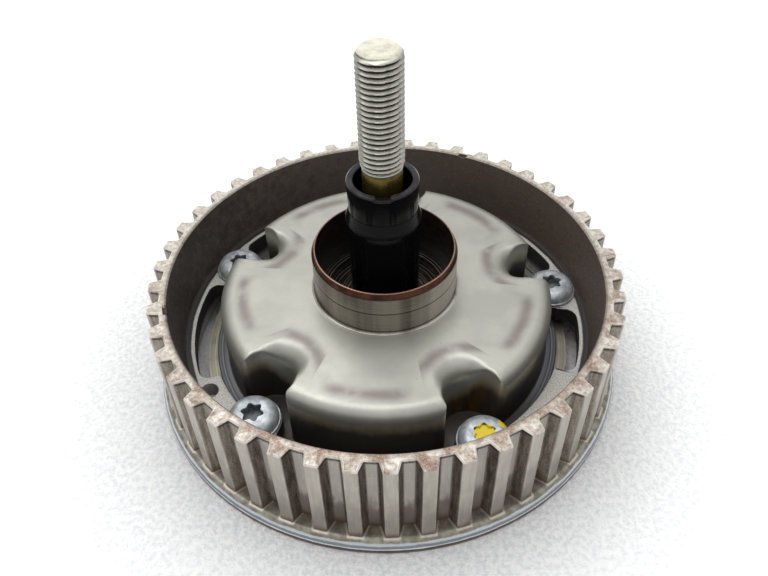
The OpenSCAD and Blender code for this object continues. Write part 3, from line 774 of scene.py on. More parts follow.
@dataclass(frozen=True)
class GroundJournal(Finish):
    """Neck of the housing: ground running face with painted reflection bands, a painted highlight
    on its right and painted shadow at its foot, heat-brown chamfer with a painted highlight on the
    mouth's edge, and dark bore.
    """

    steel: Colour = shade(156, 150, 140)
    shadow: Colour = shade(100, 93, 85)
    copper: Colour = shade(98, 62, 48)
    scorched: Colour = shade(52, 36, 31)
    lip: Colour = shade(168, 132, 112)
    bright: Colour = shade(214, 208, 200)
    dark: Colour = shade(26, 22, 20)
    bore: Colour = shade(40, 31, 26)
    journal_r: float = 21.0
    foot: float = 29.1
    top: float = 43.8
    chamfer: float = 1.6
    score: float = 36.6
    bands_size: float = 6.0
    rough: tuple[float, float] = (0.24, 0.36)
    metals: tuple[float, float] = (0.95, 0.2)
    relief: float = 0.006

    def paint(self, graph: NodeGraph) -> None:
        """Draw the finish into a node graph.

        Args:
            graph: the graph of the new material.
        """
        radius = graph.radius()
        marks = graph.lines(graph.z, 0.16)
        # Painted reflection: bright and dark bands round the running face.
        bands = graph.noise(self.bands_size, 3.0, stretch=ROUND_ABOUT)
        graph.colour = graph.blend(graph.span(bands, 0.32, 0.68), self.shadow, self.steel)
        graph.coat(self.bright, graph.span(marks, 0.5, 0.72, (0.0, 0.35)))
        # Painted highlight: the right of the running face is brighter.
        right_glint = graph.times(
            graph.span(graph.x, 5.0, 14.0), graph.span(bands, 0.3, 0.6, (0.2, 0.6))
        )
        graph.coat(self.bright, right_glint)
        scored = graph.band(graph.z, self.score, 0.32)
        under = graph.band(graph.z, self.top - self.chamfer - 0.1, 0.4)
        # Painted shadow: a dark line at the foot of the neck.
        foot_shadow = graph.band(graph.z, self.foot + 0.75, 0.35)
        graph.coat(self.dark, graph.either(scored, graph.times(foot_shadow, 0.8)))
        above = graph.span(graph.z, self.top - self.chamfer, self.top - self.chamfer + 0.1)
        burnt = graph.blend(
            graph.span(graph.noise(7.0), 0.38, 0.6), self.scorched, self.copper
        )
        graph.coat(burnt, above)
        graph.coat(self.dark, under, 0.9)
        # Painted highlight: a bright line along the mouth's edge.
        lip = graph.span(graph.z, self.top - 0.2, self.top - 0.06)
        graph.coat(self.lip, lip)
        inside = graph.span(radius, self.journal_r - 0.95, self.journal_r - 1.12)
        stained = graph.blend(graph.patches(graph.noise(3.0, 5.0)), self.dark, self.bore)
        graph.coat(stained, inside)
        graph.surface(
            metallic=graph.span(inside, 0.0, 1.0, self.metals),
            roughness=graph.vary(marks, *self.rough),
        )
        graph.bump(marks, self.relief)


@dataclass(frozen=True)
class ZincScrews(Finish):
    """Zinc-plated heads with sockets darkened by painted shade, one of them filled with marking
    paint.
    """

    zinc: Colour = shade(216, 221, 224)
    dull: Colour = shade(160, 170, 176)
    dark: Colour = shade(52, 52, 53)
    rust: Colour = shade(128, 92, 66)
    paint_yellow: Colour = shade(236, 212, 26)
    seat: float = 14.4
    painted_at: tuple[float, float] = (25.2, -47.4)
    paint_r: float = 3.1
    dab_at: tuple[float, float] = (31.2, -43.9)
    dab_r: float = 2.3
    cloud_size: float = 2.0
    fine_size: float = 0.4
    rough: tuple[float, float] = (0.3, 0.44)
    metals: tuple[float, float] = (0.45, 0.0)
    relief: float = 0.012

    def paint(self, graph: NodeGraph) -> None:
        """Draw the finish into a node graph.

        Args:
            graph: the graph of the new material.
        """
        cloud = graph.noise(self.cloud_size, 5.0)
        fine = graph.noise(self.fine_size, 5.0)
        graph.colour = graph.blend(graph.span(cloud, 0.3, 0.7), self.dull, self.zinc)
        foot = graph.band(graph.shifted(graph.z, cloud, 0.8), self.seat, 0.75)
        graph.coat(self.rust, foot, 0.7)
        # Painted shade: the socket darkens towards its floor.
        socket = graph.span(graph.mark("socket"), 0.35, 0.75)
        graph.coat(self.dark, socket, graph.span(cloud, 0.35, 0.65, (0.65, 0.95)))
        spot = graph.span(
            graph.shifted(graph.radius(*self.painted_at), cloud, 1.0),
            self.paint_r,
            self.paint_r - 0.3,
        )
        dab = graph.span(
            graph.shifted(graph.radius(*self.dab_at), fine, 1.2), self.dab_r, self.dab_r - 0.3
        )
        coat = graph.times(graph.either(spot, dab), graph.span(graph.z, self.seat, self.seat + 0.2))
        graph.coat(self.paint_yellow, coat)
        metal = graph.span(graph.either(coat, socket), 0.0, 1.0, self.metals)
        graph.surface(metallic=metal, roughness=graph.vary(fine, *self.rough))
        graph.bump(fine, self.relief)


@dataclass(frozen=True)
class OiledSleeve(Finish):
    """Black moulded sleeve, glossy with oil, grey at its mouth with painted violet highlights."""

    black: Colour = shade(14, 14, 16)
    grey: Colour = shade(62, 61, 64)
    violet_glint: Colour = shade(46, 43, 50)
    top: float = 67.25
    collar_drop: float = 11.0
    collar_half: float = 3.4
    iors: tuple[float, float] = (1.34, 1.17)
    cloud_size: float = 4.0
    fine_size: float = 0.5
    rough: tuple[float, float] = (0.06, 0.12)
    relief: float = 0.012

    def paint(self, graph: NodeGraph) -> None:
        """Draw the finish into a node graph.

        Args:
            graph: the graph of the new material.
        """
        cloud = graph.noise(self.cloud_size)
        fine = graph.noise(self.fine_size, 5.0)
        # The mouth turns grey, mixed with a painted violet highlight.
        mouth = graph.span(graph.shifted(graph.z, fine, 0.25), self.top - 0.5, self.top - 0.15)
        glinting_edge = graph.blend(graph.span(cloud, 0.4, 0.6), self.grey, self.violet_glint)
        graph.colour = graph.blend(mouth, self.black, glinting_edge)
        collar = graph.band(graph.z, self.top - self.collar_drop, self.collar_half)
        graph.surface(
            ior=graph.span(collar, 0.2, 0.6, self.iors),
            roughness=graph.vary(cloud, *self.rough),
        )
        graph.bump(fine, self.relief)


@dataclass(frozen=True)
class BoltCoat(Finish):
    """Bolt with a bright thread, thread roots dark with painted shade, and an olive shank."""

    silver: Colour = shade(188, 186, 178)
    root: Colour = shade(66, 62, 56)
    olive: Colour = shade(140, 122, 66)
    straw: Colour = shade(246, 243, 222)
    thread_foot: float = 70.8
    end: float = 103.8
    cloud_size: float = 3.0
    fine_size: float = 0.35
    rough: tuple[float, float] = (0.24, 0.4)
    metals: tuple[float, float] = (0.9, 0.2)
    relief: float = 0.012

    def paint(self, graph: NodeGraph) -> None:
        """Draw the finish into a node graph.

        Args:
            graph: the graph of the new material.
        """
        cloud = graph.noise(self.cloud_size, 5.0)
        fine = graph.noise(self.fine_size, 5.0)
        # Painted shade: the thread darkens from its crests into its roots.
        crest = graph.span(graph.shifted(graph.mark("crest"), fine, 0.3), 0.12, 0.55)
        graph.colour = graph.blend(crest, self.root, self.silver)
        tip = graph.span(graph.z, self.end - 1.4, self.end - 0.4)
        graph.coat(self.straw, tip, graph.span(cloud, 0.3, 0.6, (0.5, 1.0)))
        shank = graph.span(
            graph.shifted(graph.z, cloud, 0.8), self.thread_foot + 0.5, self.thread_foot - 0.5
        )
        graph.coat(self.olive, shank)
        metal = graph.span(graph.z, self.end - 0.8, self.end - 0.2, self.metals)
        graph.surface(metallic=metal, roughness=graph.vary(cloud, *self.rough))
        graph.bump(fine, self.relief)


@dataclass(frozen=True)
class TurnedSteel(Finish):
    """Machined steel with tool rings about an upright axis."""

    light: Colour
    dark: Colour
    stain: Colour = shade(92, 66, 46)
    stained: float = 0.5
    bright_from: float = 0.3
    axis: tuple[float, float] = (0.0, 0.0)
    metal: float = 0.85
    cloud_size: float = 4.0
    rough: tuple[float, float] = (0.3, 0.5)
    relief: float = 0.02

    def paint(self, graph: NodeGraph) -> None:
        """Draw the finish into a node graph.

        Args:
            graph: the graph of the new material.
        """
        rings = graph.lines(graph.math("ADD", graph.radius(*self.axis), graph.z), 0.35)
        cloud = graph.noise(self.cloud_size, 5.0)
        graph.colour = graph.blend(graph.span(rings, self.bright_from, 0.7), self.dark, self.light)
        patch = graph.times(graph.span(cloud, 0.5, 0.68), self.stained)
        graph.coat(self.stain, patch)
        graph.surface(metallic=self.metal, roughness=graph.vary(cloud, *self.rough))
        graph.bump(rings, self.relief)


@dataclass(frozen=True)
class MouldedBlack(Finish):
    """Rubber or plastic of the hidden seals."""

    body: Colour = shade(26, 25, 25)
    dusty: Colour = shade(58, 55, 52)
    least_rough: float = 0.5
    fine_size: float = 0.6
    relief: float = 0.02

    def paint(self, graph: NodeGraph) -> None:
        """Draw the finish into a node graph.

        Args:
            graph: the graph of the new material.
        """
        fine = graph.noise(self.fine_size, 5.0)
        graph.colour = graph.blend(graph.span(fine, 0.45, 0.75), self.body, self.dusty)
        rough = graph.vary(fine, self.least_rough, self.least_rough + 0.25)
        graph.surface(roughness=rough)
        graph.bump(fine, self.relief)


def spring_steel(name: str) -> TurnedSteel:
    """Return the bright finish of spring wire and leaf springs under a name."""
    return TurnedSteel(name, shade(176, 176, 174), shade(132, 132, 130), stained=0.1)


def deselect_all() -> None:
    """Leave nothing selected, so that an operator acts on the next piece alone."""
    bpy.ops.object.select_all(action="DESELECT")


def activate(piece: Item) -> None:
    """Select one object and make it the active one."""
    deselect_all()
    piece.select_set(True)
    bpy.context.view_layer.objects.active = piece


def polar(radius: float | np.ndarray, degrees: float | np.ndarray) -> np.ndarray:
    """Return the points at a radius and an angle, as rows of x and y."""
    angle = np.radians(degrees)
    return np.stack(np.broadcast_arrays(radius * np.cos(angle), radius * np.sin(angle)), axis=-1)


def angles_of(outline: np.ndarray) -> np.ndarray:
    """Return the angle of each point of an outline, seen from the axis."""
    return np.degrees(np.arctan2(outline[:, 1], outline[:, 0]))


def full_turn(points: int) -> np.ndarray:
    """Return the angles of a number of points spread evenly round a circle."""
    return np.arange(points) * 360 / points


def away_from(angles: np.ndarray, middle: float) -> np.ndarray:
    """Return how far angles lie from a middle one, from -180 to 180."""
    return (angles - middle + 180) % 360 - 180


def with_circle(
    edge: np.ndarray, angles: np.ndarray, middle: float, reach: float, radius: float, outwards: bool
) -> np.ndarray:
    """Let an outline follow a circle wherever the circle passes it.

    Args:
        edge: radius of the outline in each direction.
        angles: the directions.
        middle: direction of the circle's middle.
        reach: distance of the circle's middle from the axis.
        radius: radius of the circle.
        outwards: true to add the circle's far side, false to cut in to its near side.

    Returns:
        The new radius in each direction.
    """
    swing = np.radians(away_from(angles, middle))
    chord = radius**2 - (reach * np.sin(swing)) ** 2
    root = np.sqrt(np.maximum(chord, 0))
    along = reach * np.cos(swing)
    moved = np.maximum(edge, along + root) if outwards else np.minimum(edge, along - root)
    return np.where((chord > 0) & (np.abs(swing) < 1), moved, edge)


def rounded(corners: Sequence[tuple[float, float, float]], steps: int = 3) -> np.ndarray:
    """Round the corners of an open line.

    Args:
        corners: points as x, y and the radius of the corner, where 0 keeps it sharp.
        steps: number of chords in a round corner.

    Returns:
        The points of the rounded line.
    """
    points: list[Vector] = []
    for index, (x, y, radius) in enumerate(corners):
        here = Vector((x, y))
        if radius == 0:
            points.append(here)
            continue
        back = (Vector(corners[index - 1][:2]) - here).normalized()
        ahead = (Vector(corners[index + 1][:2]) - here).normalized()
        half = back.angle(ahead) / 2
        middle = here + (back + ahead).normalized() * radius / math.sin(half)
        start = here + back * radius / math.tan(half) - middle
        turn = start.angle_signed(here + ahead * radius / math.tan(half) - middle)
        for step in range(steps + 1):
            angle = turn * step / steps
            spun = Matrix.Rotation(-angle, 2) @ start
            points.append(middle + spun)
    return np.array(points)


def offset(outline: np.ndarray, distance: float) -> np.ndarray:
    """Move a closed counter-clockwise outline outwards along its normals.

    Args:
        outline: rows of x and y.
        distance: how far the outline moves.

    Returns:
        The moved outline.
    """
    edge = np.roll(outline, -1, axis=0) - outline
    normal = np.stack((edge[:, 1], -edge[:, 0]), axis=-1)
    normal /= np.linalg.norm(normal, axis=1, keepdims=True)
    mean = normal + np.roll(normal, 1, axis=0)
    mean /= np.linalg.norm(mean, axis=1, keepdims=True)
    stretch = 1 / np.maximum(np.sum(mean * normal, axis=1, keepdims=True), 0.5)
    return outline + distance * mean * stretch


def distance_to(points: np.ndarray, outline: np.ndarray) -> np.ndarray:
    """Measure how far points lie from a closed outline.

    Args:
        points: rows of x and y.
        outline: rows of x and y.

    Returns:
        The distance of each point.
    """
    along = np.roll(outline, -1, axis=0) - outline
    away = points[:, None] - outline
    share = np.clip(np.sum(away * along, axis=-1) / np.sum(along * along, axis=-1), 0, 1)
    return np.linalg.norm(away - share[..., None] * along, axis=-1).min(axis=1)


def weld(piece: Item) -> None:
    """Merge doubles, turn all faces outwards and shade the round faces smooth.

    Args:
        piece: a closed mesh.
    """
    activate(piece)
    bpy.ops.object.mode_set(mode="EDIT")
    bpy.ops.mesh.select_all(action="SELECT")
    bpy.ops.mesh.remove_doubles(threshold=WELD_GAP * MM)
    bpy.ops.mesh.normals_make_consistent(inside=False)
    bpy.ops.object.mode_set(mode="OBJECT")
    bpy.ops.object.shade_smooth_by_angle(angle=math.radians(SMOOTH_DEGREES))


def loop_of(name: str, points: np.ndarray) -> Item:
    """Add a closed loop of edges and leave it selected in edit mode.

    Args:
        name: name of the new object.
        points: rows of x, y and z.

    Returns:
        The new object.
    """
    deselect_all()
    bpy.ops.mesh.primitive_circle_add(vertices=len(points), radius=MM)
    piece = bpy.context.object
    piece.name = piece.data.name = name
    piece.data.vertices.foreach_set("co", (points * MM).ravel())
    bpy.ops.object.mode_set(mode="EDIT")
    bpy.ops.mesh.select_mode(type="VERT")
    bpy.ops.mesh.select_all(action="SELECT")
    return piece


class Loft:
    """A mesh that is extruded ring by ring out of a circle."""

    def __init__(self, name: str, angles: np.ndarray) -> None:
        """Start an empty loft.

        Args:
            name: name of the finished piece.
            angles: directions of the points on a round ring.
        """
        self.name = name
        self.angles = angles
        self.count = len(angles)
        self.rings: list[np.ndarray] = []
        self.marks: dict[str, list[np.ndarray]] = {}

    def add(
        self, outline: np.ndarray, height: float | np.ndarray, **marks: float | np.ndarray
    ) -> None:
        """Add the next ring.

        Args:
            outline: rows of x and y.
            height: height of the ring, or of each of its points.
            marks: values to store on the points, 0 where a ring names none.
        """
        ring = np.empty((self.count, 3))
        ring[:, :2] = outline
        ring[:, 2] = height
        for key in marks.keys() - self.marks.keys():
            self.marks[key] = [np.zeros(self.count) for _ in self.rings]
        self.rings.append(ring)
        for key, rows in self.marks.items():
            rows.append(np.broadcast_to(marks.get(key, 0.0), self.count).astype(float))

    def circle(
        self, radius: float | np.ndarray, height: float | np.ndarray, **marks: float | np.ndarray
    ) -> None:
        """Add a ring of one radius, or of a radius for each direction."""
        self.add(polar(radius, self.angles), height, **marks)

    def build(self) -> Item:
        """Extrude the rings, store the marks and weld the mesh.

        Returns:
            The closed piece.
        """
        piece = loop_of(self.name, self.rings[0])
        for ring in self.rings[1:]:
            bpy.ops.mesh.extrude_region_move()
            mesh = bmesh.from_edit_mesh(piece.data)
            fresh = (vertex for vertex in mesh.verts if vertex.select)
            for vertex, place in zip(fresh, ring * MM):
                vertex.co = place
        bmesh.update_edit_mesh(piece.data)
        bpy.ops.object.mode_set(mode="OBJECT")
        for key, rows in self.marks.items():
            layer = piece.data.attributes.new(key, "FLOAT", "POINT")
            layer.data.foreach_set("value", np.concatenate(rows))
        weld(piece)
        return piece


def drill(
    piece: Item, holes: Sequence[tuple[float, float, float]], low: float, high: float
) -> None:
    """Cut upright round holes through a piece.

    Args:
        piece: the piece to cut.
        holes: the holes as x, y and radius.
        low: height of the face where the holes start.
        high: height of the face where the holes end.
    """
    low, high = low - DRILL_OVERRUN, high + DRILL_OVERRUN
    deselect_all()
    drills = []
    for x, y, radius in holes:
        bpy.ops.mesh.primitive_cylinder_add(
            vertices=DRILL_SIDES,
            radius=radius * MM,
            depth=(high - low) * MM,
            location=(x * MM, y * MM, (low + high) / 2 * MM),
        )
        drills.append(bpy.context.object)
    for tool in drills:
        tool.select_set(True)
    bpy.ops.object.join()
    cutter = bpy.context.object
    activate(piece)
    cut = piece.modifiers.new("holes", "BOOLEAN")
    cut.operation = "DIFFERENCE"
    cut.object = cutter
    bpy.ops.object.modifier_apply(modifier=cut.name)
    bpy.data.objects.remove(cutter)
    bpy.ops.object.shade_smooth_by_angle(angle=math.radians(SMOOTH_DEGREES))


@dataclass(frozen=True)
class Layout:
    """Radii and heights that several pieces share; the heights come from the frame."""

    spigot_lift: float
    flange_top: float
    flange_r: float
    rim_top: float
    cover_lift: float
    cover_top: float
    neck_top: float
    bolt_end: float
    sleeve_foot: float
    sleeve_top: float
    brim_t: float = 2.2
    web_t: float = 5.4
    pot_h: float = 20.1
    screw_count: int = 5
    screw_phase: float = 10.0
    screw_circle_r: float = 53.7
    screw_hole_r: float = 3.3
    lobe_r: float = 49.5
    notch_mid_r: float = 47.3

    @classmethod
    def from_frame(cls) -> Layout:
        """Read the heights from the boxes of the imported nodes.

        Returns:
            The layout of this frame.
        """

        def heights(node: str) -> tuple[float, float]:
            """Return the lowest and highest height of a node."""
            low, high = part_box(node)
            return low.z / MM, high.z / MM

        pulley = heights("belt_pulley")
        housing = heights("stator_housing")
        sleeve = heights("oil_sleeve")
        return cls(
            spigot_lift=pulley[0],
            flange_top=heights("guide_flange")[1],
            flange_r=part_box("guide_flange")[1].x / MM,
            rim_top=pulley[1],
            cover_lift=heights("front_cover")[0],
            cover_top=housing[0],
            neck_top=housing[1],
            bolt_end=heights("centre_bolt")[1],
            sleeve_foot=sleeve[0],
            sleeve_top=sleeve[1],
        )

    @property
    def screw_step(self) -> float:
        """Angle from one screw to the next."""
        return 360 / self.screw_count

    @property
    def screw_angles(self) -> list[float]:
        """Directions of the screws."""
        return [self.screw_phase + k * self.screw_step for k in range(self.screw_count)]

    @property
    def web_bottom(self) -> float:
        """Height of the web's lower face."""
        return self.cover_top + self.brim_t

    @property
    def web_top(self) -> float:
        """Height of the web's upper face, where the screws seat."""
        return self.web_bottom + self.web_t

    @property
    def pot_top(self) -> float:
        """Height of the housing's upper face."""
        return self.web_bottom + self.pot_h

    def screw_holes(self) -> list[tuple[float, float, float]]:
        """Return the screw holes as x, y and radius."""
        return [
            (*polar(self.screw_circle_r, angle), self.screw_hole_r) for angle in self.screw_angles
        ]


@dataclass
class Piece:
    """One modelled piece: what it stands for, what it rides on and how it is made."""

    layout: Layout
    name: str
    node: str
    body: Body
    slot: Slot

    def model(self) -> Item:
        """Build the mesh.

        Returns:
            The finished object, at the origin.
        """
        raise NotImplementedError

    def finishes(self) -> tuple[Finish, ...]:
        """Return the finishes of the piece's zones."""
        raise NotImplementedError

    def zone(self, radius: float, height: float) -> int:
        """Return the number of the zone that a face at a radius and height belongs to."""
        return 0

    def dress(self, piece: Item) -> None:
        """Give each face of the piece the finish of its zone.

        Args:
            piece: the object that model returned.
        """
        piece.data.materials.clear()
        for finish in self.finishes():
            piece.data.materials.append(finish.material())
        for face in piece.data.polygons:
            middle = face.center / MM
            face.material_index = self.zone(math.hypot(middle.x, middle.y), middle.z)

    def make(self) -> Item:
        """Model and dress the piece and put it in the place of its node.

        Returns:
            The finished object.
        """
        piece = self.model()
        self.dress(piece)
        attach(piece, self.body.value)
        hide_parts(self.node)
        LOG.info("%s: %d faces, stands for %s", piece.name, len(piece.data.polygons), self.node)
        return piece


@dataclass
class BeltPulley(Piece):
    """Toothed rim with its web, screw bosses and windows."""

    name: str = "toothed_pulley"
    node: str = "belt_pulley"
    body: Body = Body.HOUSING
    slot: Slot = Slot.SINTERED
    tooth_count: int = 46
    belt_pitch: float = 9.525
    pitch_line_drop: float = 0.686
    tooth_depth: float = 3.35
    gap_floor_w: float = 3.6
    flank_angle: float = 20.0
    tip_corner_r: float = 0.45
    root_corner_r: float = 0.35
    rim_wall: float = 2.2
    rim_chamfer: float = 0.4
    lip_w: float = 0.3
    rim_draft: float = 1.2
    web_fillet: float = 1.0
    web_bevel: float = 0.5
    ledge_w: float = 4.4
    window_corner_r: float = 3.5
    boss_r: float = 7.8
    web_gap: float = 4.0
    skirt_step: float = 2.4
    flange_seat: float = 0.7
    index_hole: tuple[float, float, float] = (58.3, 208.5, 2.7)
    dip_r: float = 2.2
    dip_w: float = 0.9
    dip_angles: tuple[float, float] = (64.0, 193.0)
    bore_taper: float = 0.03
    taper_h: float = 1.5
    dip_step: float = 0.1
    bevel_share: float = 0.3
    skirt_edge: float = 0.4
    skirt_corner_r: float = 0.8
    window_margin: float = 0.6
    fillet_steps: int = 5
    tooth_rings: int = 9
    land_share: float = 0.9
    wall_share: float = 0.4
    root_margin: float = 0.2
    land_stations: tuple[float, float] = (0.0, 0.35)
    crease_cut: float = 0.9
    arms: tuple[tuple[float, float], ...] = (
        (9.0, 9.0), (9.0, 9.0), (9.0, 9.0), (22.0, 18.0), (12.0, 37.0)
    )

    def __post_init__(self) -> None:
        """Work out the radii, from the teeth inwards."""
        self.tip_r = self.tooth_count * self.belt_pitch / (2 * math.pi) - self.pitch_line_drop
        self.root_r = self.tip_r - self.tooth_depth
        self.bore_r = self.root_r - self.rim_wall
        self.window_r = self.bore_r - self.ledge_w
        self.web_bore_r = self.layout.lobe_r + self.web_gap

    def tooth_pitch(self) -> tuple[np.ndarray, np.ndarray]:
        """Draw one gap with half a land on each side, about +X.

        Returns:
            The points, without the last one, and the mark of the corners at the gap's floor.
        """
        half = self.gap_floor_w / 2
        slope = math.tan(math.radians(self.flank_angle))
        square = 1 + slope**2
        linear = self.root_r + half * slope
        rest = self.root_r**2 + half**2 - self.tip_r**2
        rise = (math.sqrt(linear**2 - square * rest) - linear) / square
        edge_x, edge_y = self.root_r + rise, half + rise * slope
        middle = 180 / self.tooth_count
        edge = math.degrees(math.atan2(edge_y, edge_x))
        lands = [
            polar(self.tip_r, middle + (edge - middle) * share) for share in self.land_stations
        ]
        right = (
            *((x, y, 0) for x, y in lands),
            (edge_x, edge_y, self.tip_corner_r),
            (self.root_r, half, self.root_corner_r),
            (self.root_r, half / 2, 0),
        )
        left = tuple((x, -y, radius) for x, y, radius in right)
        line = rounded((*left, (self.root_r, 0, 0), *right[::-1]))[:-1]
        on_floor = line[:, 0] < self.root_r + self.root_corner_r
        aside = np.clip(2 * np.abs(line[:, 1]) / half - self.crease_cut, 0, 1)
        return line, np.where(on_floor, aside, 0.0)

    def tooth_ring(self) -> tuple[np.ndarray, np.ndarray, np.ndarray]:
        """Repeat the gap round the rim.

        Returns:
            The outline of all teeth, and the depth and corner mark of its points, from 0 to 1.
        """
        line, crease = self.tooth_pitch()
        turns = [math.radians(360 * k / self.tooth_count) for k in range(self.tooth_count)]
        ring = np.concatenate([line @ np.array(Matrix.Rotation(turn, 2)).T for turn in turns])
        depth = np.clip((self.tip_r - np.linalg.norm(ring, axis=1)) / self.tooth_depth, 0, 1)
        return ring, depth, np.tile(crease, self.tooth_count)

    def web_edge(self, angles: np.ndarray) -> np.ndarray:
        """Find the web's inner edge, with its windows and screw bosses.

        Args:
            angles: directions to look in.

        Returns:
            The radius of the edge in each direction.
        """
        edge = np.full(angles.shape, self.web_bore_r)
        middle_r = self.window_r - self.window_corner_r
        lean = math.degrees(math.asin(self.window_corner_r / middle_r))
        screws = self.layout.screw_angles
        for k, screw in enumerate(screws):
            first = screw + self.arms[k][1]
            width = self.layout.screw_step - self.arms[k][1] - self.arms[(k + 1) % len(screws)][0]
            into = (angles - first) % 360
            swing = np.radians(np.clip(lean - np.minimum(into, width - into), 0, lean))
            chord = np.maximum(self.window_corner_r**2 - (middle_r * np.sin(swing)) ** 2, 0)
            edge = np.where(into <= width, middle_r * np.cos(swing) + np.sqrt(chord), edge)
        for screw in screws:
            edge = with_circle(
                edge, angles, screw, self.layout.screw_circle_r, self.boss_r, outwards=False
            )
        return edge

    def rim_height(self, angles: np.ndarray, plain: float) -> np.ndarray:
        """Find the height of the rim's inner edge, with its two small dips.

        Args:
            angles: directions to look in.
            plain: height away from the dips.

        Returns:
            The height in each direction.
        """
        height = np.full(angles.shape, plain)
        for dip in self.dip_angles:
            across = self.bore_r * np.radians(away_from(angles, dip))
            sunk = self.layout.rim_top + self.dip_r / 2 - np.sqrt(
                np.maximum(self.dip_r**2 - across**2, 0)
            )
            height = np.where(np.abs(across) < self.dip_r, np.minimum(height, sunk), height)
        return height

    def model(self) -> Item:
        """Loft the web, the rim's bore and the teeth in one run and drill the holes.

        Returns:
            The finished object, at the origin.
        """
        layout = self.layout
        teeth, depth, crease = self.tooth_ring()
        angles = angles_of(teeth)
        web = polar(self.web_edge(angles), angles)
        web_top, web_bottom, rim_top = layout.web_top, layout.web_bottom, layout.rim_top
        foot_r = self.bore_r - self.rim_draft
        bevel = self.web_bevel
        loft = Loft(self.name, angles)
        start = offset(web, bevel)
        loft.add(start, web_bottom)
        # The side mark carries painted shade onto the web's inner walls and the skirt's inside.
        loft.add(web, web_bottom + bevel, side=1.0)
        loft.add(web, web_top - bevel, side=1.0)
        inner = self.bevel_share * bevel
        loft.add(offset(web, inner), web_top - inner, side=0.2)
        loft.add(start, web_top)
        ledge = polar(foot_r - self.web_fillet, angles)
        loft.add((start + ledge) / 2, web_top)
        for step in range(self.fillet_steps + 1):
            swing = math.radians(90 * step / self.fillet_steps)
            reach = foot_r - self.web_fillet * (1 - math.sin(swing))
            loft.circle(reach, web_top + self.web_fillet * (1 - math.cos(swing)))
        top_edge = rim_top - self.rim_chamfer
        loft.circle((foot_r + self.bore_r) / 2, (web_top + rim_top) / 2)
        loft.circle(self.bore_r - self.bore_taper, rim_top - self.taper_h)
        loft.circle(self.bore_r, self.rim_height(angles, top_edge))
        loft.circle(self.bore_r + self.rim_chamfer, self.rim_height(angles, rim_top))
        loft.circle(self.bore_r + self.dip_w, self.rim_height(angles, rim_top))
        loft.circle(self.bore_r + self.dip_w + self.dip_step, rim_top)
        loft.add(offset(teeth, -self.rim_chamfer - self.lip_w), rim_top, depth=depth)
        # The lip mark carries the rim's painted edge highlight.
        loft.add(offset(teeth, -self.rim_chamfer), rim_top, depth=depth, lip=1.0)
        loft.add(teeth, top_edge, depth=depth, crease=crease, lip=1.0)
        for height in np.linspace(top_edge, layout.flange_top, self.tooth_rings)[1:]:
            loft.add(teeth, height, depth=depth, crease=crease)
        spigot_r = self.root_r - self.flange_seat
        skirt_r = self.bore_r - self.skirt_step
        lip = layout.spigot_lift
        section = rounded(
            (
                (spigot_r, layout.flange_top, 0),
                (spigot_r, lip, self.skirt_edge),
                (skirt_r, lip, self.skirt_edge),
                (skirt_r, web_bottom, self.skirt_corner_r),
                (self.window_r + bevel + self.window_margin, web_bottom, 0),
            )
        )
        for radius, height in section:
            loft.circle(radius, height, side=float(height > lip + 1 and radius < spigot_r))
        loft.add(start, web_bottom)
        piece = loft.build()
        reach, angle, radius = self.index_hole
        index = (*polar(reach, angle), radius)
        drill(piece, [*layout.screw_holes(), index], web_bottom, web_top)
        return piece

    def finishes(self) -> tuple[Finish, ...]:
        """Return the finishes of the teeth, the rim's upper face, its bore and the web."""
        return (
            BeltTeeth("belt_teeth"),
            RimLand("rim_land"),
            RimWall("rim_wall"),
            CastWeb("cast_web"),
        )

    def zone(self, radius: float, height: float) -> int:
        """Tell teeth, rim, bore and web apart.

        Args:
            radius: distance of a face from the axis.
            height: height of the face.

        Returns:
            The number of the face's finish.
        """
        layout = self.layout
        if height > layout.rim_top - self.land_share * self.rim_chamfer:
            return 1
        if radius > self.root_r - self.root_margin and height > layout.flange_top:
            return 0
        return 2 if height > layout.web_top + self.wall_share * self.web_fillet else 3


@dataclass
class GuideFlange(Piece):
    """Sheet ring under the teeth, with its outer edge turned down."""

    name: str = "rolled_flange"
    node: str = "guide_flange"
    body: Body = Body.HOUSING
    slot: Slot = Slot.FLANGE
    sheet_t: float = 1.6
    bend_r: float = 2.6
    bore_r: float = 65.02
    edge_r: float = 0.25
    steps: int = 240

    def model(self) -> Item:
        """Spin the section of the ring.

        Returns:
            The finished object, at the origin.
        """
        out, top, edge = self.layout.flange_r, self.layout.flange_top, self.edge_r
        under = top - self.sheet_t
        start = (self.bore_r, (top + under) / 2, 0)
        section = rounded(
            (
                start,
                (self.bore_r, top, edge),
                (out, top, self.bend_r),
                (out, 0, 2 * edge),
                (out - self.sheet_t, 0, edge),
                (out - self.sheet_t, under, self.bend_r - self.sheet_t),
                (self.bore_r, under, edge),
                start,
            ),
            steps=6,
        )[:-1]
        upright = np.stack((section[:, 0], np.zeros(len(section)), section[:, 1]), axis=-1)
        piece = loop_of(self.name, upright)
        bpy.ops.mesh.spin(steps=self.steps, angle=2 * math.pi, center=(0, 0, 0), axis=(0, 0, 1))
        bpy.ops.object.mode_set(mode="OBJECT")
        weld(piece)
        return piece

    def finishes(self) -> tuple[Finish, ...]:
        """Return the worn sheet of the ring."""
        return (FlangeSheet("flange_sheet"),)


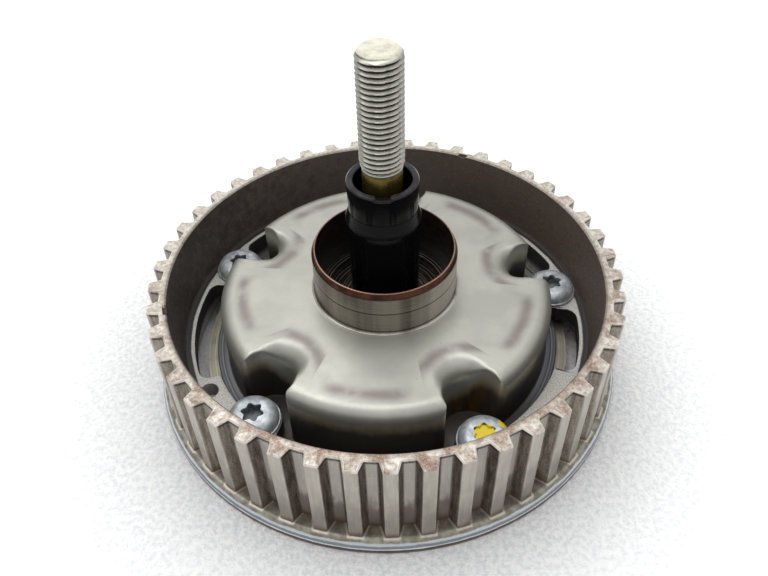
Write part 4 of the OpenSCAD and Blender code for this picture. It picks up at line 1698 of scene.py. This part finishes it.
@dataclass
class StatorHousing(Piece):
    """Drawn five-lobed housing with its brim and its neck."""

    name: str = "lobed_housing"
    node: str = "stator_housing"
    body: Body = Body.HOUSING
    slot: Slot = Slot.DRAWN
    notch_r: float = 8.3
    corner_r: float = 1.8
    least_corner_r: float = 0.4
    shoulder_r: float = 4.2
    notch_end_r: float = 6.4
    notch_side_r: float = 0.7
    sheet_t: float = 2.0
    brim_w: float = 3.7
    ear_r: float = 5.6
    brim_edge: float = 0.35
    foot_r: float = 0.22
    journal_r: float = 21.0
    neck_wall: float = 1.2
    neck_root: float = 0.9
    chamfer_h: float = 1.6
    chamfer_w: float = 0.75
    score_drop: float = 7.2
    score_depth: float = 0.08
    score_half: float = 0.12
    neck_edges: tuple[float, float, float, float] = (0.3, 0.12, 0.15, 0.3)
    hollow_lap: float = 2.0
    ceiling_margin: float = 0.1
    wall_shares: tuple[float, float] = (0.35, 0.7)
    foot_steps: int = 3
    shoulder_steps: int = 12
    top_rings: int = 14
    far_inset: float = 20.0
    end_stations: tuple[float, float] = (0.3, 0.62)
    end_taper: float = 0.85
    arc_steps: tuple[int, int, int] = (12, 9, 14)

    def half_lobe(self, lobe: float, notch: float, corner: float) -> np.ndarray:
        """Draw the outline from the middle of a notch to the middle of the next lobe.

        Args:
            lobe: radius of the lobes.
            notch: radius of the notches.
            corner: radius of the corners between them.

        Returns:
            The points, with the notch on +X.
        """
        middle = self.layout.notch_mid_r
        reach, span = lobe - corner, notch + corner
        opening = math.acos((middle**2 + reach**2 - span**2) / (2 * middle * reach))
        centre = np.array((reach * math.cos(opening), reach * math.sin(opening)))
        touch = math.atan2(centre[1], centre[0] - middle)
        steps = self.arc_steps
        stages = (
            ((middle, 0.0), notch, np.linspace(math.pi, touch, steps[0], endpoint=False)),
            (centre, corner, np.linspace(touch - math.pi, opening, steps[1], endpoint=False)),
            (
                (0.0, 0.0),
                lobe,
                np.linspace(opening, math.pi / self.layout.screw_count, steps[2] + 1),
            ),
        )
        arcs = [
            np.asarray(place) + polar(radius, np.degrees(sweep)) for place, radius, sweep in stages
        ]
        return np.concatenate(arcs)

    def all_round(self, half: np.ndarray, mirrored: bool) -> np.ndarray:
        """Mirror half a lobe about its notch and repeat it at every screw.

        Args:
            half: points or values from the middle of a notch to the middle of a lobe.
            mirrored: true for points, false for values.

        Returns:
            The rows for the whole ring.
        """
        flip = np.array((1.0, -1.0)) if mirrored else 1.0
        sector = np.concatenate((half[:0:-1] * flip, half[:-1]))
        if not mirrored:
            return np.tile(sector, self.layout.screw_count)
        turns = [
            np.array(Matrix.Rotation(math.radians(angle), 2)) for angle in self.layout.screw_angles
        ]
        return np.concatenate([sector @ turn.T for turn in turns])

    def outline(self, inset: float) -> np.ndarray:
        """Draw the whole outline at a distance inside the wall.

        Args:
            inset: the distance, below 0 outside the wall.

        Returns:
            Rows of x and y.
        """
        corner = max(self.corner_r - inset, self.least_corner_r)
        half = self.half_lobe(self.layout.lobe_r - inset, self.notch_r + inset, corner)
        return self.all_round(half, mirrored=True)

    def edge_radius(self) -> np.ndarray:
        """Find the radius of the upper edge: wide at a notch's end and tight along its sides.

        Returns:
            The radius at each point of the ring.
        """
        first = self.arc_steps[0]
        stations = (0, *(share * first for share in self.end_stations))
        radii = (self.notch_end_r, self.end_taper * self.notch_end_r, self.notch_side_r)
        return self.all_round(
            np.interp(np.arange(sum(self.arc_steps) + 1), stations, radii), mirrored=False
        )

    def fall(self, places: np.ndarray, depth: float | np.ndarray) -> np.ndarray:
        """Find how far the upper face falls over the lobes' shoulder and the notches' edges.

        Args:
            places: rows of x and y, one for each point of the ring.
            depth: distance of the points from the wall.

        Returns:
            The fall at each point.
        """

        def rounding(inside: np.ndarray, radius: float | np.ndarray) -> np.ndarray:
            """Return the fall of a rounded edge at a distance inside it."""
            short = np.clip(radius - inside, 0, radius)
            return radius - np.sqrt(radius**2 - short**2)

        shoulder = rounding(self.layout.lobe_r - np.linalg.norm(places, axis=1), self.shoulder_r)
        return np.maximum(shoulder, rounding(depth, self.edge_radius()))

    def brim_radius(self, angles: np.ndarray, shrink: float) -> np.ndarray:
        """Find the brim's edge, with an ear round each screw.

        Args:
            angles: directions to look in.
            shrink: distance in from the edge.

        Returns:
            The radius of the edge in each direction.
        """
        edge = np.full(angles.shape, self.layout.lobe_r + self.brim_w - shrink)
        for screw in self.layout.screw_angles:
            ear = self.ear_r - shrink
            edge = with_circle(edge, angles, screw, self.layout.screw_circle_r, ear, outwards=True)
        return edge

    def model(self) -> Item:
        """Loft the brim, wall, shoulder, top, neck and hollow in one run and drill the brim.

        Returns:
            The finished object, at the origin.
        """
        layout = self.layout
        first, second, third = self.arc_steps
        notch = self.all_round(
            np.concatenate(
                (np.ones(first), np.linspace(1, 0, second, endpoint=False), np.zeros(third + 1))
            ),
            mirrored=False,
        )
        lobe = self.all_round(
            np.concatenate((np.zeros(first + second), np.linspace(0, 1, third + 1))),
            mirrored=False,
        )
        wall = self.outline(0.0)
        angles = angles_of(wall)
        zones = {"notch": notch, "lobe": lobe, "dome": self.edge_radius() / self.notch_end_r}
        loft = Loft(self.name, angles)
        low, foot, top = layout.cover_top, layout.web_bottom, layout.pot_top
        edge = self.brim_edge
        for shrink, height in ((edge, low), (0.0, low + edge), (0.0, foot - edge), (edge, foot)):
            loft.circle(self.brim_radius(angles, shrink), height, **zones)
        for step in range(self.foot_steps + 1):
            swing = math.radians(90 / self.foot_steps * step)
            out = self.foot_r * (1 - math.sin(swing))
            loft.add(self.outline(-out), foot + self.foot_r * (1 - math.cos(swing)), **zones)
        crown = top - self.fall(wall, 0.0)
        for share in self.wall_shares:
            loft.add(wall, foot + (crown - foot) * share, **zones)
        for step in range(self.shoulder_steps + 1):
            depth = self.shoulder_r * (1 - math.cos(math.radians(90 * step / self.shoulder_steps)))
            ring = self.outline(depth)
            loft.add(ring, top - self.fall(ring, depth), inset=depth, **zones)
        neck = polar(self.journal_r + 2 * self.neck_root, angles)
        for share in np.linspace(0, 1, self.top_rings + 1)[1:-1]:
            place = ring + (neck - ring) * share
            depth = distance_to(place, wall)
            loft.add(place, top - self.fall(place, depth), inset=depth, **zones)
        for radius, height in self.neck_section():
            loft.circle(radius, height, inset=self.far_inset)
        ceiling = top - self.sheet_t
        hollow = self.all_round(
            self.half_lobe(
                layout.lobe_r - self.sheet_t, self.notch_r + self.sheet_t, self.least_corner_r
            ),
            mirrored=True,
        )
        loft.add(hollow, ceiling)
        loft.add(hollow, low)
        loft.circle(self.brim_radius(angles, edge), low)
        piece = loft.build()
        drill(piece, layout.screw_holes(), low, foot)
        return piece

    def neck_section(self) -> np.ndarray:
        """Draw the neck from its foot outside to the hollow's ceiling inside.

        Returns:
            Rows of radius and height.
        """
        journal, top, rim = self.journal_r, self.layout.pot_top, self.layout.neck_top
        bore = journal - self.neck_wall
        score = rim - self.score_drop
        under, edge, mouth, inside = self.neck_edges
        return rounded(
            (
                (journal + 2 * self.neck_root, top, 0),
                (journal, top, self.neck_root),
                (journal, score - self.score_half, 0),
                (journal - self.score_depth, score, 0),
                (journal, score + self.score_half, 0),
                (journal, rim - self.chamfer_h, under),
                (journal - self.chamfer_w, rim, edge),
                (bore, rim, mouth),
                (bore, top - self.sheet_t, inside),
                (bore + self.hollow_lap, top - self.sheet_t, 0),
            ),
            steps=4,
        )

    def finishes(self) -> tuple[Finish, ...]:
        """Return the finishes of the drawn skin and the ground neck."""
        return DrawnSkin("drawn_skin"), GroundJournal("ground_journal")

    def zone(self, radius: float, height: float) -> int:
        """Tell the neck from the rest of the skin.

        Args:
            radius: distance of a face from the axis.
            height: height of the face.

        Returns:
            The number of the face's finish.
        """
        ceiling = self.layout.pot_top - self.sheet_t + self.ceiling_margin
        return int(radius < self.journal_r + self.neck_root and height > ceiling)


@dataclass
class ClampScrews(Piece):
    """Five flanged screws with six-lobed sockets."""

    name: str = "zinc_screws"
    node: str = "clamp_screws"
    body: Body = Body.HOUSING
    slot: Slot = Slot.ZINC
    thread_d: float = 6.0
    tip_sink: float = 0.4
    head_d: float = 14.4
    head_h: float = 3.1
    flange_d: float = 15.2
    flange_t: float = 0.9
    flat_d: float = 8.2
    socket_d: float = 6.4
    socket_depth: float = 2.6
    paint_depth: float = 0.7
    painted: int = 4
    turns: tuple[float, ...] = (8.0, 41.0, 22.0, 3.0, 30.0)
    tip_chamfer: float = 0.6
    seat_edge_r: float = 0.15
    flange_edge_r: float = 0.25
    socket_lobes: int = 6
    socket_mean: float = 0.43
    socket_wave: float = 0.07
    socket_edge: float = 0.12
    socket_floor_h: float = 0.2
    socket_floor_in: float = 0.25
    crown_steps: int = 10
    points: int = 72

    def screw(self, name: str, depth: float) -> Item:
        """Loft one screw on the axis.

        Args:
            name: name of the object.
            depth: depth of the socket.

        Returns:
            The screw.
        """
        layout = self.layout
        angles = full_turn(self.points)
        seat = layout.web_top
        shelf = seat + self.flange_t
        crown = shelf + self.head_h
        tip = layout.cover_lift + self.tip_sink
        shank, rim = self.thread_d / 2, self.flange_d / 2
        head, flat = self.head_d / 2, self.flat_d / 2
        loft = Loft(name, angles)
        loft.circle(0.0, tip)
        section = rounded(
            (
                (shank - self.tip_chamfer, tip, 0),
                (shank, tip + self.tip_chamfer, 0),
                (shank, seat, 0),
                (rim, seat, self.seat_edge_r),
                (rim, shelf, self.flange_edge_r),
                (head, shelf, 0),
            )
        )
        for radius, height in section:
            loft.circle(radius, height)
        for step in range(1, self.crown_steps + 1):
            swing = math.radians(90 / self.crown_steps * step)
            radius = flat + (head - flat) * math.cos(swing)
            loft.circle(radius, shelf + self.head_h * math.sin(swing))
        lobes = np.cos(self.socket_lobes * np.radians(angles))
        wave = self.socket_d * (self.socket_mean + self.socket_wave * lobes)
        floor = crown - depth
        loft.circle(wave + self.socket_edge, crown)
        # The socket mark carries painted shade into the socket.
        loft.circle(wave, crown - self.socket_edge, socket=0.5)
        loft.circle(wave, floor + self.socket_floor_h, socket=1.0)
        loft.circle(wave - self.socket_floor_in, floor, socket=1.0)
        loft.circle(0.0, floor, socket=1.0)
        return loft.build()

    def model(self) -> Item:
        """Copy the screw to its five places and join the copies.

        Returns:
            The finished object, at the origin.
        """
        master = self.screw("clamp_screw", self.socket_depth)
        filled = self.screw("marked_screw", self.paint_depth)
        copies = []
        for index, angle in enumerate(self.layout.screw_angles):
            activate(filled if index == self.painted else master)
            bpy.ops.object.duplicate()
            copy = bpy.context.object
            spin = Matrix.Rotation(math.radians(self.turns[index]), 4, "Z")
            move = Matrix.Translation((self.layout.screw_circle_r * MM, 0, 0))
            copy.data.transform(Matrix.Rotation(math.radians(angle), 4, "Z") @ move @ spin)
            copies.append(copy)
        for spare in (master, filled):
            bpy.data.objects.remove(spare)
        deselect_all()
        for copy in copies:
            copy.select_set(True)
        bpy.context.view_layer.objects.active = copies[0]
        bpy.ops.object.join()
        piece = bpy.context.object
        piece.name = piece.data.name = self.name
        return piece

    def finishes(self) -> tuple[Finish, ...]:
        """Return the zinc of the screws, one of them marked by paint."""
        return (ZincScrews("zinc_plate"),)


@dataclass
class OilSleeve(Piece):
    """Moulded sleeve round the bolt, with a collar, oil grooves and a notched mouth."""

    name: str = "grooved_sleeve"
    node: str = "oil_sleeve"
    body: Body = Body.ROTOR
    slot: Slot = Slot.SLEEVE
    outer_r: float = 9.8
    wall: float = 1.9
    step: float = 0.2
    waist: float = 0.3
    upper_len: float = 9.3
    collar: float = 0.7
    collar_h: float = 4.4
    lip: float = 0.4
    groove: float = 0.9
    groove_r: float = 3.2
    groove_foot: float = 25.25
    groove_angles: tuple[float, ...] = (45.0, 135.0, 225.0, 315.0)
    notch_w: float = 5.2
    notch_depth: float = 0.6
    notch_slope: float = 0.35
    foot_edge: float = 0.2
    ring_gap: float = 0.02
    collar_edges: tuple[float, float, float] = (0.2, 0.4, 1.2)
    mouth_h: float = 1.5
    mouth_drop: float = 1.0
    lip_edge_r: float = 0.2
    points: int = 144

    def grooved(self, radius: float, angles: np.ndarray) -> np.ndarray:
        """Sink the four oil grooves into a circle.

        Args:
            radius: radius between the grooves.
            angles: directions to look in.

        Returns:
            The radius in each direction.
        """
        result = np.full(angles.shape, radius)
        middle = self.outer_r + self.groove_r - self.groove
        for groove in self.groove_angles:
            result = with_circle(result, angles, groove, middle, self.groove_r, outwards=False)
        return result

    def model(self) -> Item:
        """Loft the sleeve up its outside and down its bore.

        Returns:
            The finished object, at the origin.
        """
        angles = full_turn(self.points)
        foot, top = self.layout.sleeve_foot, self.layout.sleeve_top
        bore, low_r = self.outer_r - self.wall, self.outer_r + self.step
        collar_top = top - self.upper_len
        collar_foot = collar_top - self.collar_h
        collar_r = self.outer_r + self.collar
        half, rise = self.collar / 2, (collar_r - low_r) / 2
        loft = Loft(self.name, angles)
        loft.circle(bore, foot)
        loft.circle(low_r - self.foot_edge, foot)
        loft.circle(low_r, foot + self.foot_edge)
        loft.circle(low_r, self.groove_foot)
        for height in (self.groove_foot + self.ring_gap, collar_foot):
            loft.circle(self.grooved(low_r, angles), height)
        loft.circle(self.grooved(low_r + rise, angles), collar_foot + half)
        low_edge, high_edge, waist_r = self.collar_edges
        section = rounded(
            (
                (low_r + rise + self.ring_gap, collar_foot + half + self.ring_gap, 0),
                (collar_r, collar_foot + self.collar, low_edge),
                (collar_r, collar_foot + 2 * self.collar, high_edge),
                (self.outer_r - self.waist, collar_top, waist_r),
                (self.outer_r, top - self.mouth_h, 0),
            ),
            steps=4,
        )
        for radius, height in section:
            loft.circle(radius, height)
        outer = polar(self.outer_r, angles)
        inside = np.clip((self.notch_w / 2 - np.abs(outer[:, 0])) / self.notch_slope, 0, 1)
        sunk = self.notch_depth * inside * (outer[:, 1] < 0)
        lip, edge = self.lip, self.lip_edge_r
        mouth = rounded(
            (
                (self.outer_r, -self.mouth_drop, 0),
                (self.outer_r, -lip, edge),
                (self.outer_r - lip, 0, edge),
                (bore + lip, 0, edge),
                (bore, -lip, edge),
                (bore, -self.mouth_drop, 0),
            ),
            steps=2,
        )
        for radius, drop in mouth:
            loft.circle(radius, top + drop - sunk)
        loft.circle(bore, foot)
        return loft.build()

    def finishes(self) -> tuple[Finish, ...]:
        """Return the oily black of the sleeve."""
        return (OiledSleeve("oiled_sleeve"),)


@dataclass
class CentreBolt(Piece):
    """Long bolt with a rolled thread at its upper end."""

    name: str = "threaded_bolt"
    node: str = "centre_bolt"
    body: Body = Body.ROTOR
    slot: Slot = Slot.BOLT
    thread_r: float = 6.0
    thread_pitch: float = 1.5
    thread_depth: float = 0.92
    thread_len: float = 33.0
    chamfer: float = 1.3
    shank_r: float = 5.45
    length: float = 88.8
    flange_r: float = 11.6
    flange_t: float = 2.0
    hex_w: float = 16.0
    hex_h: float = 5.6
    hex_chamfer: float = 0.8
    flange_lip: tuple[float, float] = (0.4, 0.5)
    flange_edge_r: float = 0.2
    runout: float = 0.6
    runout_turns: float = 1.5
    crest_gain: float = 1.35
    crest_cut: float = 0.15
    shank_crest: float = 0.6
    end_share: float = 0.55
    end_dish: float = 0.15
    points: int = 72
    rings_per_pitch: int = 10

    def thread_radius(self, angles: np.ndarray, height: float) -> np.ndarray:
        """Find the thread's radius round a ring.

        Args:
            angles: directions to look in.
            height: height of the ring.

        Returns:
            The radius in each direction.
        """
        phase = (height / self.thread_pitch - angles / 360) % 1.0
        slope = 1 - np.abs(2 * phase - 1)
        return self.thread_r - self.thread_depth * (
            1 - np.clip(self.crest_gain * slope - self.crest_cut, 0, 1)
        )

    def model(self) -> Item:
        """Loft the head, shank and thread.

        Returns:
            The finished object, at the origin.
        """
        angles = full_turn(self.points)
        end = self.layout.bolt_end
        seat = end - self.length
        head_top = seat - self.flange_t
        head_foot = head_top - self.hex_h
        loft = Loft(self.name, angles)
        hexagon = self.hex_w / 2 / np.cos(np.radians((angles % 60) - 30))
        loft.circle(0.0, head_foot)
        loft.circle(np.minimum(hexagon, self.hex_w / 2), head_foot)
        loft.circle(hexagon, head_foot + self.hex_chamfer)
        loft.circle(hexagon, head_top)
        section = rounded(
            (
                (self.flange_r - self.flange_lip[0], head_top, 0),
                (self.flange_r, head_top + self.flange_lip[1], self.flange_edge_r),
                (self.flange_r, seat, self.flange_edge_r),
                (self.shank_r, seat, 0),
                (self.shank_r, end - self.thread_len - self.runout, 0),
            )
        )
        for radius, height in section:
            loft.circle(radius, height, crest=self.shank_crest)
        rings = round(self.thread_len / self.thread_pitch * self.rings_per_pitch)
        for step in range(rings + 1):
            height = end - self.thread_len + self.thread_len * step / rings
            fade = min(step / (self.runout_turns * self.rings_per_pitch), 1.0)
            thread = self.thread_radius(angles, height)
            radius = self.shank_r + (thread - self.shank_r) * fade
            cone = end - height + self.thread_r - self.chamfer
            radius = np.minimum(radius, cone)
            crest = np.clip((radius - self.thread_r + self.thread_depth) / self.thread_depth, 0, 1)
            loft.circle(radius, height, crest=np.maximum(crest, radius >= cone))
        loft.circle(self.end_share * self.thread_r, end, crest=1.0)
        loft.circle(0.0, end - self.end_dish, crest=1.0)
        return loft.build()

    def finishes(self) -> tuple[Finish, ...]:
        """Return the coat of the thread, its roots and the shank."""
        return (BoltCoat("bolt_coat"),)


@dataclass
class LockSpring(Piece):
    """Coil behind the lock pin, which shortens as the pin is pushed back."""

    name: str = "lock_coil"
    node: str = "lock_spring"
    body: Body = Body.ROTOR
    slot: Slot = Slot.SPRING
    joint: str = "lock_pin_slide"
    travel: float = 3.6
    wire_d: float = 0.7
    turns: int = 6
    per_turn: int = 24
    points: int = 10

    def box(self) -> tuple[np.ndarray, np.ndarray]:
        """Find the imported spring's box.

        Returns:
            Its lowest and highest corner in millimetres.
        """
        low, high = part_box(self.node)
        return np.array(low) / MM, np.array(high) / MM

    def model(self) -> Item:
        """Sweep the round wire along its helix.

        Returns:
            The finished object, at the origin.
        """
        low, high = self.box()
        wire = self.wire_d / 2
        middle = (low[:2] + high[:2]) / 2
        coil = (high[0] - low[0]) / 2 - wire
        angles = full_turn(self.points)
        round_wire = np.radians(angles)
        stations = self.turns * self.per_turn
        loft = Loft(self.name, angles)
        for step in (0, *range(stations + 1), stations):
            ends = 0.0 if len(loft.rings) in (0, stations + 2) else wire
            climb = low[2] + wire + (high[2] - low[2] - self.wire_d) * step / stations
            swing = np.full(self.points, step * 360 / self.per_turn)
            loft.add(
                middle + polar(coil + ends * np.cos(round_wire), swing),
                climb + ends * np.sin(round_wire),
            )
        return loft.build()

    def finishes(self) -> tuple[Finish, ...]:
        """Return the bright spring steel of the coil."""
        return (spring_steel("coil_steel"),)

    def make(self) -> Item:
        """Make the coil and give it a mesh of its own.

        Returns:
            The finished object.
        """
        piece = super().make()
        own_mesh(piece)
        return piece


@dataclass
class InnerWorks:
    """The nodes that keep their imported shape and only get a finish."""

    vane_count: int = 5

    def finishes(self) -> dict[str, Finish]:
        """Name the finish of each node.

        Returns:
            The finishes by node name.
        """
        cover = TurnedSteel(
            "turned_cover", shade(168, 164, 147), shade(124, 120, 106), stained=0.25
        )
        plug = TurnedSteel("turned_plug", shade(186, 192, 196), shade(128, 134, 140), stained=0.3)
        # The rotor lies in shade deep inside the neck: its turned rings are painted mostly dark,
        # with bright painted glints.
        rotor = TurnedSteel(
            "rotor_steel", shade(224, 219, 210), shade(44, 39, 35), bright_from=0.56
        )
        hard = TurnedSteel("hard_steel", shade(170, 170, 168), shade(116, 116, 114), stained=0.2)
        spring = spring_steel("spring_steel")
        rubber = MouldedBlack("seal_rubber")
        strip = MouldedBlack("seal_strip", shade(48, 44, 40), shade(86, 80, 72), 0.4)
        table: dict[str, Finish] = {"front_cover": cover, "front_plug": plug, "rotor": rotor}
        table |= {name: hard for name in ("lock_bush", "lock_cap", "lock_pin")}
        table |= {name: rubber for name in ("cover_seal", "plug_seal")}
        for number in range(1, self.vane_count + 1):
            table[f"tip_seal_{number}"] = strip
            table[f"seal_spring_{number}"] = spring
        return table

    def dress(self, nodes: dict[str, Item]) -> None:
        """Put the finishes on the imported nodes.

        Args:
            nodes: the frame's objects by node name.
        """
        made: dict[Finish, bpy.types.Material] = {}
        for name, finish in self.finishes().items():
            if finish not in made:
                made[finish] = finish.material()
            for slot in nodes[name].material_slots:
                slot.material = made[finish]
            LOG.info("%s: finished as %s", name, finish.name)


@dataclass
class Studio:
    """Pale floor, soft light and the camera."""

    floor_size: float = 4.0
    floor_pale: Colour = shade(252, 252, 251)
    floor_shade: Colour = shade(226, 228, 231)
    floor_grain: float = 1.5
    floor_rough: float = 0.8
    floor_bump: float = 1.0
    floor_glow: float = 0.45
    glow_r: tuple[float, float] = (60.0, 140.0)
    lit: float = 1.0
    front_tone: float = 0.55
    room_y: tuple[float, float] = (-0.9, 0.2)
    low_tone: float = 0.5
    tent_z: tuple[float, float] = (0.45, 0.85)
    key_power: float = 4.6
    key_size: float = 0.9
    key_at: tuple[float, float, float] = (-0.2, 0.3, 1.1)
    camera_at: tuple[float, float, float] = (0.0, -0.16228, 0.18422)
    camera_aim: tuple[float, float, float] = (-0.00197253, 0.71713179, -0.69693480)
    camera_roll: float = -1.69
    lens: float = 35.156
    sensor: float = 36.0
    clip_start: float = 0.01

    def floor(self) -> None:
        """Lay the floor and give it a faint texture."""
        deselect_all()
        bpy.ops.mesh.primitive_plane_add(size=self.floor_size)
        floor = bpy.context.object
        floor.name = "studio_floor"
        graph = NodeGraph("pale_floor")
        grain = graph.noise(self.floor_grain, 4.0, 0.65)
        path = graph.add("ShaderNodeLightPath").outputs
        seen = graph.either(
            path["Is Camera Ray"], graph.either(path["Is Glossy Ray"], path["Is Transmission Ray"])
        )
        graph.colour = graph.blend(graph.patches(grain), self.floor_shade, self.floor_pale)
        graph.surface(
            roughness=self.floor_rough,
            emission_color=WHITE,
            emission_strength=graph.times(
                seen, graph.span(graph.radius(), *self.glow_r), self.floor_glow
            ),
        )
        graph.bump(grain, self.floor_bump)
        floor.data.materials.append(graph.material)

    def light(self) -> None:
        """Surround the object with a pale room and hang a soft lamp over it."""
        world = bpy.data.worlds.new("pale_room")
        bpy.context.scene.world = world
        world.use_nodes = True
        tree = world.node_tree
        tree.nodes.clear()
        link = tree.links.new

        def background(strength: float) -> bpy.types.Node:
            """Add a background of one strength, white until its colour is linked."""
            node = tree.nodes.new("ShaderNodeBackground")
            node.inputs["Color"].default_value = WHITE
            node.inputs["Strength"].default_value = strength
            return node

        def choose(ray: Socket, plain: bpy.types.Node, special: bpy.types.Node) -> bpy.types.Node:
            """Show the special surroundings to one kind of ray."""
            mix = tree.nodes.new("ShaderNodeMixShader")
            link(ray, mix.inputs["Fac"])
            link(plain.outputs[0], mix.inputs[1])
            link(special.outputs[0], mix.inputs[2])
            return mix

        ways = tree.nodes.new("ShaderNodeSeparateXYZ")
        link(tree.nodes.new("ShaderNodeTexCoord").outputs["Generated"], ways.inputs["Vector"])

        def graded(
            strength: float, axis: str, rise: tuple[float, float], dim: float
        ) -> bpy.types.Node:
            """Add a background that brightens along an axis."""
            tone = tree.nodes.new("ShaderNodeMapRange")
            for key, number in zip(("From Min", "From Max", "To Min", "To Max"), (*rise, dim, 1.0)):
                tone.inputs[key].default_value = number
            link(ways.outputs[axis], tone.inputs["Value"])
            node = background(strength)
            link(tone.outputs["Result"], node.inputs["Color"])
            return node

        room = graded(self.lit, "Y", self.room_y, self.front_tone)
        tent = graded(1.0, "Z", self.tent_z, self.low_tone)
        rays = tree.nodes.new("ShaderNodeLightPath").outputs
        mirrored = choose(rays["Is Glossy Ray"], room, tent)
        through = choose(rays["Is Transmission Ray"], mirrored, background(1.0))
        seen = choose(rays["Is Camera Ray"], through, background(1.0))
        link(seen.outputs["Shader"], tree.nodes.new("ShaderNodeOutputWorld").inputs["Surface"])
        lamp = bpy.data.lights.new("soft_key", "AREA")
        lamp.energy = self.key_power
        lamp.size = self.key_size
        key = bpy.data.objects.new("soft_key", lamp)
        key.location = self.key_at
        key.rotation_euler = (-Vector(self.key_at)).to_track_quat("-Z", "Y").to_euler()
        bpy.context.collection.objects.link(key)

    def camera(self) -> None:
        """Set the camera at the viewing angle of the photograph."""
        data = bpy.data.cameras.new("view")
        data.sensor_width = self.sensor
        data.lens = self.lens
        data.clip_start = self.clip_start
        camera = bpy.data.objects.new("view", data)
        aim = Vector(self.camera_aim).to_track_quat("-Z", "Y").to_matrix().to_4x4()
        roll = Matrix.Rotation(math.radians(self.camera_roll), 4, "Z")
        camera.matrix_world = Matrix.Translation(self.camera_at) @ aim @ roll
        bpy.context.collection.objects.link(camera)
        bpy.context.scene.camera = camera

    def set_up(self) -> None:
        """Build the studio and fix the view transform."""
        self.floor()
        self.light()
        self.camera()
        bpy.context.scene.view_settings.view_transform = "Standard"


def main() -> None:
    """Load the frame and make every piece."""
    logging.basicConfig(level=logging.INFO, format="%(name)s: %(message)s")
    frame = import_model()
    layout = Layout.from_frame()
    Studio().set_up()
    for kind in (
        BeltPulley, GuideFlange, StatorHousing, ClampScrews, OilSleeve, CentreBolt, LockSpring
    ):
        kind(layout).make()
    InnerWorks().dress(frame["nodes"])


if __name__ == "__main__":
    main()
